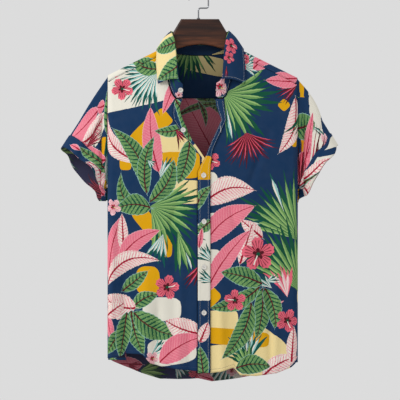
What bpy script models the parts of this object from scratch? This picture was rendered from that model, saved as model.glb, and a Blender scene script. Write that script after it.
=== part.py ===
"""Short-sleeved shirt with an open collar, on a flat wooden hanger with a wire hook.

Metres, +Z up, the shirt's front towards -Y. The origin is the inner top of the hook, where a
rail carries it. All panels lie on one body surface. front_points and back_points give its points
by the path across from the body's middle and the height, over_points by the path and the run of
cloth over the shoulder line, and lift moves them out of the cloth. A panel is a grid of such
points and the same grid lifted, joined to a closed wall.
"""

import math

import bmesh
import bpy
import numpy as np
from mathutils import Matrix, Vector

MM = 0.001

# Cloth
WALL = 1.5 * MM  # modelled thickness of one cloth layer
SEAM = 0.3 * MM  # gap between pieces that meet
LAYER = WALL + SEAM  # lift of a piece that lies on another
PLACKET_WALL = 2.2 * MM  # the folded buttonhole strip

# Shirt body
BODY_X = 9.2 * MM  # the body hangs this far to the wearer's left of the hook
HALF_WIDTH = 208.2 * MM
FRONT_DEPTH = 38 * MM
BACK_DEPTH = 33 * MM
BOW = 0.16  # how much shallower the body is at its sides than in its middle
DEPTH_RUN = 150 * MM  # drop over which the body reaches its depth
RIDGE_RADIUS = 11 * MM  # the cloth's bend over the hanger's arms
SIDE_ROLL = 12 * MM  # width of the roll where a panel turns to the side
ROLL_PATH = 25 * MM  # cloth in the roll
TUCK_PATH = 46 * MM  # cloth in the tuck at the side
TUCK = 40 * MM  # how far the side folds in between front and back
TUCK_SHARE = 0.55  # depth left at the roll's end, of the panel's depth

# Shoulders and neck
NECK_X = 3.3 * MM  # the collar and the hanger are centred here
NECK_HALF = 79.2 * MM
NECK_TOP = -132.4 * MM  # the shoulder line's height beside the neck
SHOULDER_SLOPE = 0.5
FRONT_SEAM_RUN = 20 * MM  # the yoke comes this far over to the front
YOKE_SEAM_Z = -243 * MM  # seam across the back

# Armholes and sleeves
UNDERARM_Z = -470 * MM
UNDERARM_BEND = 50 * MM
SLEEVE_INSET = 1 * MM  # the sleeve starts this far inside the armhole's edge
UNDERARM_CLEAR = 2 * MM  # more room round the sleeve where it lies in the body's tuck
UNDERARM_REACH = 20 * MM  # how far the sleeve goes into that tuck

# Neck seam, from the right front's end round the back to the left front's end.
# across: from the neck's centre; run: along the cloth from the shoulder line, + to the front.
NECK_SEAM = [
    {"across": -37.0, "run": 118.0},
    {"across": -53.0, "run": 118.5},
    {"across": -65.0, "run": 95.0},
    {"across": -73.0, "run": 55.0},
    {"across": -78.0, "run": 20.0},
    {"across": -79.2, "run": 0.0},
    {"across": -70.0, "run": -15.0},
    {"across": -40.0, "run": -21.0},
    {"across": 0.0, "run": -23.0},
    {"across": 40.0, "run": -21.0},
    {"across": 70.0, "run": -15.0},
    {"across": 79.2, "run": 0.0},
    {"across": 78.0, "run": 20.0},
    {"across": 73.0, "run": 55.0},
    {"across": 64.0, "run": 90.0},
    {"across": 53.0, "run": 118.0},
    {"across": 35.0, "run": 118.0},
]

# Fold of the collar at the same stations, from the neck's centre, and the leaf's outer edge.
COLLAR = [
    {"fold_x": -37.5, "fold_z": -215, "fold_y": -42, "edge_x": -84, "edge_z": -213},
    {"fold_x": -46.0, "fold_z": -203, "fold_y": -44, "edge_x": -91, "edge_z": -213},
    {"fold_x": -48.5, "fold_z": -180, "fold_y": -42, "edge_x": -94, "edge_z": -192},
    {"fold_x": -51.5, "fold_z": -142, "fold_y": -33, "edge_x": -96, "edge_z": -166},
    {"fold_x": -57.0, "fold_z": -112, "fold_y": -17, "edge_x": -95, "edge_z": -147},
    {"fold_x": -62.0, "fold_z": -97, "fold_y": 2, "edge_x": -93, "edge_z": -138},
    {"fold_x": -56.0, "fold_z": -98, "fold_y": 24, "edge_x": -84, "edge_z": -148},
    {"fold_x": -33.0, "fold_z": -106, "fold_y": 37, "edge_x": -48, "edge_z": -158},
    {"fold_x": 0.0, "fold_z": -109, "fold_y": 41, "edge_x": 0, "edge_z": -160},
    {"fold_x": 33.0, "fold_z": -106, "fold_y": 37, "edge_x": 48, "edge_z": -158},
    {"fold_x": 56.0, "fold_z": -98, "fold_y": 24, "edge_x": 84, "edge_z": -148},
    {"fold_x": 62.0, "fold_z": -97, "fold_y": 2, "edge_x": 94, "edge_z": -138},
    {"fold_x": 57.0, "fold_z": -112, "fold_y": -17, "edge_x": 96, "edge_z": -147},
    {"fold_x": 52.5, "fold_z": -142, "fold_y": -33, "edge_x": 98, "edge_z": -166},
    {"fold_x": 50.0, "fold_z": -180, "fold_y": -42, "edge_x": 99, "edge_z": -192},
    {"fold_x": 46.5, "fold_z": -203, "fold_y": -44, "edge_x": 98, "edge_z": -213},
    {"fold_x": 36.0, "fold_z": -212, "fold_y": -42, "edge_x": 90, "edge_z": -213},
]
LEAF_FIRST, LEAF_LAST = 1, 15  # the leaf starts and ends short of the stand's tabs
LEAF_CLEAR = 3.6 * MM  # between the body and the leaf
LEAF_ARCH = 4 * MM
STAND_LIFT = 2.6 * MM  # of the stand's lower edge above the neck seam, in front
STAND_LIFT_BACK = 0.5 * MM

# The opening, by height. band and placket are strips' outer and inner edges across the front.
OPENING = [
    {"z": -246, "band": (-50.5, -34.5), "placket": (37.5, 55.5)},
    {"z": -262, "band": (-54.8, -42.0), "placket": (38.7, 57.0)},
    {"z": -279, "band": (-56.3, -39.0), "placket": (45.0, 59.0)},
    {"z": -293, "band": (-54.5, -34.0), "placket": (50.0, 60.5)},
    {"z": -308, "band": (-45.5, -27.0), "placket": (43.5, 54.0)},
    {"z": -334, "band": (-26.5, -15.5), "placket": (31.5, 42.0)},
    {"z": -356, "band": (-6.5, 0.0), "placket": (22.0, 32.0)},
    {"z": -376, "band": (8.0, 13.5), "placket": (14.3, 28.6)},
    {"z": -392, "band": (6.0, 23.0), "placket": (4.8, 26.4)},
    {"z": -407, "band": (-0.6, 24.2), "placket": (-1.1, 26.0)},
    {"z": -430, "band": (-1.2, 24.4), "placket": (-1.3, 26.0)},
    {"z": -450, "band": (-1.2, 24.4), "placket": (-1.3, 26.0)},
    {"z": -472, "band": (-1.2, 24.4), "placket": (-1.3, 26.0)},
    {"z": -860, "band": (-1.2, 24.4), "placket": (-1.3, 26.0)},
]
STRIP_TOP = -247.5 * MM
PLACKET_OVERLAP = 1.0 * MM
NECK_CLEAR = 2.2 * MM  # between the panels' neck edges and the collar's seam, in front
NECK_CLEAR_BACK = 0.8 * MM
NECK_CENTRE_RUN = 45 * MM

# Hems, by place across from the hook
FRONT_HEM = [
    {"x": -205, "z": -817},
    {"x": -181, "z": -814},
    {"x": -155, "z": -806},
    {"x": -124, "z": -807},
    {"x": -106, "z": -827},
    {"x": -80, "z": -834},
    {"x": -45, "z": -840},
    {"x": -2, "z": -844},
    {"x": 26, "z": -848},
    {"x": 50, "z": -845},
    {"x": 77, "z": -836},
    {"x": 92, "z": -853},
    {"x": 125, "z": -855},
    {"x": 171, "z": -849},
    {"x": 203, "z": -836},
    {"x": 222, "z": -822},
]
BACK_HEM = [
    {"x": -205, "z": -819},
    {"x": -192, "z": -825},
    {"x": -161, "z": -838},
    {"x": -126, "z": -852},
    {"x": -84, "z": -865},
    {"x": -45, "z": -866},
    {"x": 0, "z": -864},
    {"x": 31, "z": -871},
    {"x": 69, "z": -866},
    {"x": 125, "z": -857},
    {"x": 171, "z": -848},
    {"x": 203, "z": -836},
    {"x": 222, "z": -824},
]

# Largest soft folds of the body: height is + for a ridge and - for a trough.
FOLDS = [
    {"face": "front", "x": -140, "slant": -0.06, "width": 20, "height": -6, "top": -560, "end": -830},
    {"face": "front", "x": -112, "slant": -0.05, "width": 17, "height": 5, "top": -600, "end": -850},
    {"face": "front", "x": -58, "slant": 0.05, "width": 17, "height": -4, "top": -440, "end": -760},
    {"face": "front", "x": 78, "slant": 0.04, "width": 18, "height": -6, "top": -600, "end": -860},
    {"face": "front", "x": 120, "slant": -0.10, "width": 22, "height": 4, "top": -420, "end": -850},
    {"face": "back", "x": -120, "slant": 0.05, "width": 24, "height": -6, "top": -330, "end": -850},
    {"face": "back", "x": -45, "slant": -0.03, "width": 26, "height": 5, "top": -300, "end": -870},
    {"face": "back", "x": 60, "slant": 0.04, "width": 24, "height": -5, "top": -340, "end": -870},
    {"face": "back", "x": 140, "slant": -0.05, "width": 22, "height": 5, "top": -380, "end": -850},
]
FOLD_FADE = 90  # length over which a fold comes and goes, in millimetres

# Sleeve ends: the upper and lower corner of the opening, its half depth, and how far the front
# and the back of the rim lie along the sleeve.
SLEEVES = {
    "right": {"side": -1, "top": (-302, -355.5), "low": (-217, -468), "depth": 40,
              "front": -23, "back": 4, "cap": 2},
    "left": {"side": 1, "top": (304.5, -348), "low": (220, -471), "depth": 38,
             "front": 5, "back": -3, "cap": 9},
}
SLEEVE_FOLDS = [  # share: round the sleeve from its top over the front; height as for FOLDS
    {"share": 0.17, "width": 0.035, "height": -5},
    {"share": 0.27, "width": 0.035, "height": 4},
    {"share": 0.38, "width": 0.030, "height": -5},
    {"share": 0.66, "width": 0.040, "height": -5},
    {"share": 0.80, "width": 0.040, "height": 4},
]
SLEEVE_PINCH = 0.62  # how much the body's sides press the sleeve flat at the underarm
CUFF_HEIGHT = 31 * MM
CUFF_CLEAR = 5 * MM

# Buttons
BUTTON_RADIUS = 5.7 * MM
BUTTON_HEIGHT = 2.2 * MM
BUTTON_RIM = 1.3 * MM
BUTTON_DISH = 0.6 * MM
BUTTONS = [  # on: the strip that carries it, with its lift
    {"name": "button_neck", "share": 0.03, "on": "stand"},
    {"name": "button_top", "x": -33.5, "z": -315.0, "on": "band"},
    {"name": "button_1", "x": 11.5, "z": -414.5, "on": "placket"},
    {"name": "button_2", "x": 12.3, "z": -516.0, "on": "placket"},
    {"name": "button_3", "x": 12.3, "z": -615.5, "on": "placket"},
    {"name": "button_4", "x": 12.3, "z": -716.0, "on": "placket"},
]

# Hanger
BOARD_THICK = 12 * MM
BOARD_TOP_Z = -69.3 * MM
BOARD_TOP_HALF = 41.8 * MM
BOARD_SIDE = [(57.8, -96.0), (64.5, -112.0), (67.5, -124.0), (71.5, -133.5), (80.0, -142.0)]
ARM_UNDER_CLOTH = 3.2 * MM  # the arms' top edge below the cloth's shoulder line
ARM_START = 104 * MM
ARM_END = 196 * MM
ARM_END_HEIGHT = 21 * MM
ARCH_TOP_Z = -125.8 * MM  # underside at the middle
ARCH_RISE = 3.9  # how fast the arch falls away, per metre of half width squared
ARCH_BEND = 55 * MM  # past this half width it falls faster, into the arm
ARCH_BEND_RISE = 9.0
ARCH_END = 88 * MM
BOARD_BEVEL = 3.6 * MM
WIRE_RADIUS = 1.6 * MM
HOOK_RADIUS = 21.8 * MM  # of the wire's centre line
HOOK_STEP_Z = -45.1 * MM  # height of the bent stretch above the stem
HOOK_BEND = 4.5 * MM
HOOK_TIP_ANGLE = 200  # degrees of the arc
FERRULE_RADIUS = 3.9 * MM
FERRULE_HEIGHT = 2.4 * MM

NECK_ROWS = 5
LOWER_ROWS = 8
BACK_HEIGHTS = ((-405, 5), (-475, 5), (-866, 9))  # rows down to each height
FRONT_COLUMNS = 9
SIDE_COLUMNS = 6
YOKE_LOW_RUN = -90 * MM  # a typical run from the shoulder line back to the yoke seam
YOKE_RUNS = (-90, -55, -26, -16, -9, -3, 3, 9, 15, 20)  # rows, for that run, in millimetres
YOKE_ARM = (0, 0.14, 0.28, 0.42, 0.56, 0.70, 0.86, 1)  # columns from the neck to the armhole
YOKE_NECK_HALF = 125 * MM  # half width, at the yoke seam, of the columns that reach the neck
NECK_COLUMNS = 13
SLEEVE_AROUND = 28
SLEEVE_ROWS = 7


def clear_scene():
    for item in list(bpy.data.objects):
        bpy.data.objects.remove(item, do_unlink=True)


def material(name, colour, roughness, metallic=0.0):
    made = bpy.data.materials.new(name)
    made.use_nodes = True
    shader = made.node_tree.nodes["Principled BSDF"]
    shader.inputs["Base Color"].default_value = (*colour, 1)
    shader.inputs["Roughness"].default_value = roughness
    shader.inputs["Metallic"].default_value = metallic
    return made


def smooth(share):
    share = np.clip(share, 0, 1)
    return share * share * (3 - 2 * share)


def column(table, name):
    return np.array([row[name] for row in table], float) * MM


def along(table, name, key, places):
    """Reads a table's column at places by a monotone list of keys, straight between its rows."""
    keys, values = column(table, key), column(table, name)
    order = np.argsort(keys)
    return np.interp(places, keys[order], values[order])


def curve_through(points, shares):
    """Points on a Catmull-Rom curve through rows of points, by share of the number of rows."""
    points = np.asarray(points, float)
    place = np.clip(np.asarray(shares, float), 0, 1) * (len(points) - 1)
    first = np.minimum(place.astype(int), len(points) - 2)
    t = (place - first)[..., None]
    before = points[np.maximum(first - 1, 0)]
    start, end = points[first], points[first + 1]
    after = points[np.minimum(first + 2, len(points) - 1)]
    return 0.5 * (
        2 * start
        + (end - before) * t
        + (2 * before - 5 * start + 4 * end - after) * t**2
        + (3 * start - before - 3 * end + after) * t**3
    )


# The body surface


def shoulder_line(x):
    """Height of the cloth's inner face along the shoulders."""
    return NECK_TOP - SHOULDER_SLOPE * np.maximum(np.abs(x - NECK_X) - NECK_HALF, 0)


def drop_of_run(run):
    """Drop below the shoulder line after a run of cloth over it."""
    run = np.abs(run)
    bend = RIDGE_RADIUS * math.pi / 2
    over = RIDGE_RADIUS * (1 - np.cos(np.minimum(run, bend) / RIDGE_RADIUS))
    return np.where(run < bend, over, RIDGE_RADIUS + run - bend)


def depth_at(face, x, drop):
    full = FRONT_DEPTH if face == "front" else BACK_DEPTH
    full = full * (1 - BOW * ((x - BODY_X) / HALF_WIDTH) ** 2)
    inside = np.clip(1 - drop / RIDGE_RADIUS, 0, 1)
    over = RIDGE_RADIUS * np.sqrt(1 - inside**2)
    return over + (full - RIDGE_RADIUS) * smooth((drop - RIDGE_RADIUS) / DEPTH_RUN)


def fold_height(face, x, z):
    """What the soft folds add to the body's depth."""
    total = np.zeros(np.broadcast(x, z).shape)
    x, z = x / MM, z / MM
    for fold in FOLDS:
        if fold["face"] != face:
            continue
        middle = fold["x"] + fold["slant"] * (fold["top"] - z)
        shape = np.exp(-(((x - middle) / fold["width"]) ** 2))
        fade = smooth((fold["top"] - z) / FOLD_FADE) * smooth((z - fold["end"]) / FOLD_FADE + 1)
        total += fold["height"] * MM * shape * fade
    return total


def tuck_at(z):
    return TUCK * (0.85 + 0.15 * smooth((UNDERARM_Z - z) / (120 * MM)))


def flat_half():
    return HALF_WIDTH - SIDE_ROLL


def path_end(z):
    """Length across a panel from its centre to its side: the armhole above, the side seam below."""
    share = smooth((UNDERARM_Z + UNDERARM_BEND - z) / UNDERARM_BEND)
    return flat_half() + ROLL_PATH + TUCK_PATH * share - SEAM


def bare_point(face, path, z):
    """A point on the body by its path across from BODY_X and its height."""
    sign = np.where(path < 0, -1.0, 1.0)
    far = np.abs(path)
    roll = np.clip((far - flat_half()) / ROLL_PATH, 0, 1) * math.pi / 2
    tuck = np.clip((far - flat_half() - ROLL_PATH) / TUCK_PATH, 0, 1)
    half = np.minimum(far, flat_half()) + SIDE_ROLL * np.sin(roll)
    x_top = BODY_X + sign * half
    inward = tuck_at(z) * (1 - (1 - tuck) ** 2) ** 2
    drop = np.maximum(shoulder_line(x_top) - z, 0)
    depth = depth_at(face, x_top, drop)
    folds = fold_height(face, x_top, z) * smooth((drop - RIDGE_RADIUS) / DEPTH_RUN)
    depth = (depth + folds) * (1 - (1 - TUCK_SHARE) * (1 - np.cos(roll))) * (1 - tuck)
    facing = -1.0 if face == "front" else 1.0
    return np.stack(np.broadcast_arrays(x_top - sign * inward, facing * depth, z), axis=-1)


def over_point(path, run):
    """A point by its run over the shoulder line, + to the front, for what crosses that line."""
    x_top = BODY_X + path
    half = np.minimum(np.abs(path), flat_half())
    roll = np.clip((np.abs(path) - flat_half()) / ROLL_PATH, 0, 1) * math.pi / 2
    x_top = BODY_X + np.sign(path) * (half + SIDE_ROLL * np.sin(roll))
    drop = drop_of_run(run)
    front, back = depth_at("front", x_top, drop), depth_at("back", x_top, drop)
    keep = 1 - (1 - TUCK_SHARE) * (1 - np.cos(roll))
    depth = np.where(run > 0, -front, back) * keep
    return np.stack(np.broadcast_arrays(x_top, depth, shoulder_line(x_top) - drop), axis=-1)


def lifted(surface, first, second, lift, outward):
    """A surface's points, moved out of it along its normal."""
    points = surface(first, second)
    step = 0.2 * MM
    across = surface(first + step, second) - surface(first - step, second)
    down = surface(first, second + step) - surface(first, second - step)
    normal = np.cross(across, down)
    length = np.linalg.norm(normal, axis=-1, keepdims=True)
    return points + outward * lift * normal / np.maximum(length, 1e-12)


def front_points(path, z, lift=0.0):
    return lifted(lambda a, b: bare_point("front", a, b), path, z, lift, 1)


def back_points(path, z, lift=0.0):
    return lifted(lambda a, b: bare_point("back", a, b), path, z, lift, -1)


def over_points(path, run, lift=0.0):
    return lifted(over_point, path, run, lift, -1)


# Making solids


def grid_normals(points, closed=False):
    """Normals of a grid of points, as the cross product of its two directions."""
    if closed:
        ring = np.concatenate([points[:, -2:-1], points, points[:, 1:2]], axis=1)
        across = ring[:, 2:] - ring[:, :-2]
    else:
        across = np.gradient(points, axis=1)
    down = np.gradient(points, axis=0)
    normal = np.cross(across, down)
    return normal / np.maximum(np.linalg.norm(normal, axis=2, keepdims=True), 1e-12)


def thickened(points, thick, core, closed=False):
    """The outer side of a wall whose inner side is points, away from the core."""
    normal = grid_normals(points, closed)
    if np.sum(normal * (points - core)) < 0:
        normal = -normal
    return points + normal * thick


def wall(name, inner, outer, look, closed=False):
    """A closed wall of cloth between an inner and an outer grid of points."""
    rows, columns = inner.shape[:2]
    bm = bmesh.new()
    bmesh.ops.create_grid(bm, x_segments=columns - 1, y_segments=rows - 1, size=1)
    bmesh.ops.triangulate(bm, faces=list(bm.faces), quad_method="FIXED")
    place = bm.verts.layers.int.new("place")
    for number, corner in enumerate(bm.verts):
        corner[place] = number
    grown = bmesh.ops.extrude_face_region(bm, geom=list(bm.faces))
    flat_inner, flat_outer = inner.reshape(-1, 3), outer.reshape(-1, 3)
    for corner in bm.verts:
        corner.co = flat_inner[corner[place]]
    for item in grown["geom"]:
        if isinstance(item, bmesh.types.BMVert):
            item.co = flat_outer[item[place]]
    if closed:
        ends = [face for face in bm.faces if is_ring_end(face, place, columns)]
        bmesh.ops.delete(bm, geom=ends, context="FACES")
        bmesh.ops.remove_doubles(bm, verts=bm.verts, dist=1e-6)
    bmesh.ops.recalc_face_normals(bm, faces=bm.faces)
    mesh = bpy.data.meshes.new(name)
    bm.to_mesh(mesh)
    bm.free()
    made = bpy.data.objects.new(name, mesh)
    bpy.context.collection.objects.link(made)
    mesh.materials.append(look)
    mesh.shade_smooth()
    mesh.set_sharp_from_angle(angle=math.radians(50))
    return made


def is_ring_end(face, place, columns):
    """Whether a face of a grown grid closes the end of its rows, where a ring is joined."""
    numbers = [corner[place] for corner in face.verts]
    at_start = all(number % columns == 0 for number in numbers)
    at_end = all(number % columns == columns - 1 for number in numbers)
    return at_start or at_end


def side_paths(inner, outer_z, inner_sign):
    """Paths of a row's points from its inner edge to its side."""
    flat = np.linspace(0, 1, FRONT_COLUMNS, endpoint=False)
    side = np.linspace(0, 1, SIDE_COLUMNS + 1)
    edge = inner_sign * flat_half()
    end = inner_sign * path_end(outer_z)
    return np.concatenate([inner + (edge - inner) * flat, edge + (end - edge) * side])


def neck_curve(shares):
    """The neck seam as points of (path, run)."""
    rows = [(row["across"] * MM + NECK_X - BODY_X, row["run"] * MM) for row in NECK_SEAM]
    return curve_through(rows, shares)


def cut_edge(shares):
    """The panels' edge along the neck seam, clear of the stand: points of (path, run)."""
    seam = neck_curve(shares)
    away = seam - np.array([NECK_X - BODY_X, NECK_CENTRE_RUN])
    away /= np.linalg.norm(away, axis=1, keepdims=True)
    clear = NECK_CLEAR_BACK + (NECK_CLEAR - NECK_CLEAR_BACK) * smooth(seam[:, 1:] / (15 * MM) + 1)
    return seam + away * clear


def neck_edge(side):
    """The front part of the neck edge on one side, from the yoke down: across and height."""
    last = len(NECK_SEAM) - 1
    shares = np.linspace(4, 1, 13) / last if side < 0 else np.linspace(last - 4, last - 1, 13) / last
    seam = cut_edge(shares)
    points = over_point(seam[:, 0], seam[:, 1])
    return points[:, 0], points[:, 2]


def inner_edge(side, z):
    """Place across of a front's inner edge at a height."""
    name, which = ("band", 0) if side < 0 else ("placket", 1)
    keys = np.array([row["z"] for row in OPENING], float) * MM
    values = np.array([row[name][which] for row in OPENING], float) * MM
    inset = -SEAM * 1.5 if side < 0 else -PLACKET_OVERLAP
    values = values + inset
    neck_x, neck_z = neck_edge(side)
    keep = neck_z > keys[0] + 3 * MM
    keys = np.concatenate([neck_z[keep], keys])
    values = np.concatenate([neck_x[keep], values])
    return np.interp(-z, -keys, values)


def hem_at(table, x):
    return along(table, "z", "x", x)


def front_heights(side):
    """Heights of a front's rows at its inner edge: neck, opening, then evenly down to the hem."""
    neck_z = neck_edge(side)[1]
    neck = np.linspace(neck_z[0], OPENING[0]["z"] * MM, NECK_ROWS, endpoint=False)
    opening = column(OPENING, "z")[:-1]
    hem = hem_at(FRONT_HEM, inner_edge(side, opening[-1]))
    lower = np.linspace(opening[-1], hem, LOWER_ROWS + 1)[1:]
    return np.concatenate([neck, opening, lower])


def front_panel(name, side, look):
    heights = front_heights(side)
    top_in, hem_in = heights[0], heights[-1]
    side_x = BODY_X + side * HALF_WIDTH
    top_out = shoulder_line(side_x) - drop_of_run(FRONT_SEAM_RUN)
    hem_out = hem_at(FRONT_HEM, side_x)
    inner, outer = [], []
    for z_in in heights:
        share = (z_in - top_in) / (hem_in - top_in)
        z_out = top_out + (hem_out - top_out) * share
        start = inner_edge(side, z_in) - BODY_X
        path = side_paths(start, z_out, side)
        way = np.clip((path - start) / (side * flat_half() - start), 0, 1)
        x = np.clip(BODY_X + path, BODY_X - HALF_WIDTH, BODY_X + HALF_WIDTH)
        seam_bend = shoulder_line(x) - drop_of_run(FRONT_SEAM_RUN) - (top_in + (top_out - top_in) * way)
        hem_bend = hem_at(FRONT_HEM, x) - (hem_in + (hem_out - hem_in) * way)
        z = z_in + (z_out - z_in) * way - SEAM * (1 - share)
        z = z + seam_bend * smooth(1 - share / 0.2) + hem_bend * smooth((share - 0.75) / 0.25)
        inner.append(front_points(path, z))
        outer.append(front_points(path, z, WALL))
    return wall(name, np.array(inner), np.array(outer), look)


def back_panel(look):
    ends = np.array([BODY_X - HALF_WIDTH, BODY_X + HALF_WIDTH])
    inner, outer, shares, start = [], [], [], YOKE_SEAM_Z
    for height, rows in BACK_HEIGHTS:
        shares += list(np.linspace(start, height * MM, rows, endpoint=False))
        start = height * MM
    for share in (np.array(shares + [start]) - YOKE_SEAM_Z) / (start - YOKE_SEAM_Z):
        z_side = YOKE_SEAM_Z + (hem_at(BACK_HEM, ends) - YOKE_SEAM_Z) * share
        left = side_paths(0.0, z_side[0], -1)[::-1]
        right = side_paths(0.0, z_side[1], 1)
        path = np.concatenate([left, right[1:]])
        hem = hem_at(BACK_HEM, np.clip(BODY_X + path, *ends))
        z = YOKE_SEAM_Z - SEAM + (hem - YOKE_SEAM_Z) * share
        inner.append(back_points(path, z))
        outer.append(back_points(path, z, WALL))
    return wall("back", np.array(inner), np.array(outer), look)


def yoke_panel(name, lift, inset, look):
    """The yoke, from the seam across the back up and over both shoulders, less inset columns."""
    last = len(NECK_SEAM) - 1
    edge = flat_half() + ROLL_PATH - SEAM
    corner = cut_edge(np.array([4, last - 4]) / last)
    arm = np.array(YOKE_ARM)[:, None]
    left = corner[0] + (np.array([-edge, FRONT_SEAM_RUN]) - corner[0]) * arm[::-1]
    right = corner[1] + (np.array([edge, FRONT_SEAM_RUN]) - corner[1]) * arm
    neck = cut_edge(np.linspace(4, last - 4, NECK_COLUMNS + 2)[1:-1] / last)
    top = np.concatenate([left, neck, right])
    arms = len(YOKE_ARM)
    low_path = np.concatenate([
        np.linspace(-edge, -YOKE_NECK_HALF, arms, endpoint=False),
        np.linspace(-YOKE_NECK_HALF, YOKE_NECK_HALF, NECK_COLUMNS),
        np.linspace(edge, YOKE_NECK_HALF, arms, endpoint=False)[::-1],
    ])
    x = BODY_X + np.clip(low_path, -HALF_WIDTH, HALF_WIDTH)
    low_run = YOKE_SEAM_Z - shoulder_line(x) - RIDGE_RADIUS * (math.pi / 2 - 1)
    inner, outer = [], []
    for template in YOKE_RUNS:
        share = 1 - (FRONT_SEAM_RUN - template * MM) / (FRONT_SEAM_RUN - YOKE_LOW_RUN)
        path = low_path + (top[:, 0] - low_path) * share
        run = low_run + (top[:, 1] - low_run) * share
        inner.append(over_points(path, run, lift))
        outer.append(over_points(path, run, lift + WALL))
    kept = slice(inset, len(top) - inset)
    return wall(name, np.array(inner)[:, kept], np.array(outer)[:, kept], look)


def strip(name, part, side, lift, thick, top_z, look):
    """A strip down the front, between its two edges in OPENING."""
    keys = column(OPENING, "z")
    first, second = (np.array([row[part][i] for row in OPENING], float) * MM for i in (0, 1))
    heights = front_heights(side)
    heights = np.concatenate([[top_z], heights[heights < top_z - MM]])
    x = np.linspace(np.interp(-heights, -keys, first), np.interp(-heights, -keys, second), 4, axis=1)
    z = np.repeat(heights[:, None], 4, axis=1)
    inner = front_points(x - BODY_X, z, lift)
    outer = front_points(x - BODY_X, z, lift + thick)
    return wall(name, inner, outer, look)


# Collar


def clear_of_body(points, clearance):
    """Moves points that lie on or in the body out to the given clearance from it."""
    moved = points.copy()
    x, y, z = points[:, 0], points[:, 1], points[:, 2]
    drop = shoulder_line(x) - z
    for i in range(len(points)):
        need = WALL + clearance
        if drop[i] < RIDGE_RADIUS:
            centre = np.array([0.0, shoulder_line(x[i]) - RIDGE_RADIUS])
            off = np.array([y[i], z[i]]) - centre
            length = max(np.linalg.norm(off), 1e-9)
            if length < RIDGE_RADIUS + need:
                moved[i, 1:] = centre + off * (RIDGE_RADIUS + need) / length
        else:
            face = "front" if y[i] < 0 else "back"
            least = depth_at(face, x[i], drop[i]) + need
            if abs(y[i]) < least:
                moved[i, 1] = math.copysign(least, y[i])
    return moved


def collar_lines(shares):
    seam = neck_curve(shares)
    low = over_point(seam[:, 0], seam[:, 1])
    fold_rows = [(row["fold_x"] * MM + NECK_X, row["fold_y"] * MM, row["fold_z"] * MM) for row in COLLAR]
    edge_rows = [(row["edge_x"] * MM + NECK_X, row["edge_z"] * MM) for row in COLLAR]
    fold = curve_through(fold_rows, shares)
    edge = curve_through(edge_rows, shares)
    return low, fold, edge


def stand_points(shares, steps):
    """The stand's inner side, from the neck seam up to the fold."""
    low, fold, _ = collar_lines(shares)
    toward = fold - low
    toward /= np.linalg.norm(toward, axis=1, keepdims=True)
    front = smooth(1.5 - low[:, 1:2] / (12 * MM))
    low = low + toward * (STAND_LIFT_BACK + (STAND_LIFT - STAND_LIFT_BACK) * front)
    return np.array([low + (fold - low) * step for step in steps])


def collar_stand(look):
    points = stand_points(np.linspace(0, 1, 37), (0, 0.5, 1))
    core = np.array([NECK_X, 0, points[..., 2].mean()])
    return wall("collar_stand", points, thickened(points, WALL, core), look)


def collar_leaf(look):
    """The leaf: from the fold, a gap outside the stand, down over the shoulders."""
    last = len(COLLAR) - 1
    half = [(LEAF_FIRST, 4, 6), (4, 7, 13), (7, last / 2, 2)]  # denser over the shoulder
    first = np.concatenate([np.linspace(a, b, n, endpoint=False) for a, b, n in half])
    shares = np.concatenate([first, [last / 2], last - first[::-1]]) / last
    stand = stand_points(shares, (0, 0.5, 1))
    core = np.array([NECK_X, 0, stand[..., 2].mean()])
    fold = thickened(stand, LAYER, core)[-1]
    edge_xz = collar_lines(shares)[2]
    behind = (shares > 5 / last) & (shares < (last - 5) / last)
    drop = np.maximum(shoulder_line(edge_xz[:, 0]) - edge_xz[:, 1], 0)
    depth = np.where(
        behind, depth_at("back", edge_xz[:, 0], drop), -depth_at("front", edge_xz[:, 0], drop)
    )
    edge = clear_of_body(np.stack([edge_xz[:, 0], depth, edge_xz[:, 1]], axis=1), LEAF_CLEAR)
    facing = np.where(behind, 1.0, -1.0)
    rows = []
    for share in np.linspace(0, 1, 6):
        arch = math.sin(math.pi * share) * LEAF_ARCH
        out = np.stack([np.zeros(len(shares)), facing * arch, np.full(len(shares), arch)], axis=1)
        rows.append(clear_of_body(fold + (edge - fold) * share + out, LEAF_CLEAR))
    points = np.array(rows)
    return wall("collar_leaf", points, thickened(points, WALL, core), look)


# Sleeves


def armhole(side, shares):
    """The armhole's edge by share round it: 0 at the shoulder, over the front, 0.5 at the underarm."""
    shares = np.asarray(shares) % 1.0
    down = 1 - np.abs(1 - 2 * shares)
    top = shoulder_line(BODY_X + side * HALF_WIDTH)
    points = []
    for share, way in zip(shares, down):
        face = "front" if share <= 0.5 else "back"
        z = top - (top - UNDERARM_Z) * (math.sin(way * math.pi / 2) ** 1.25)
        points.append(bare_point(face, np.array(side * path_end(z)), np.array(z)))
    return np.array(points)


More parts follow.
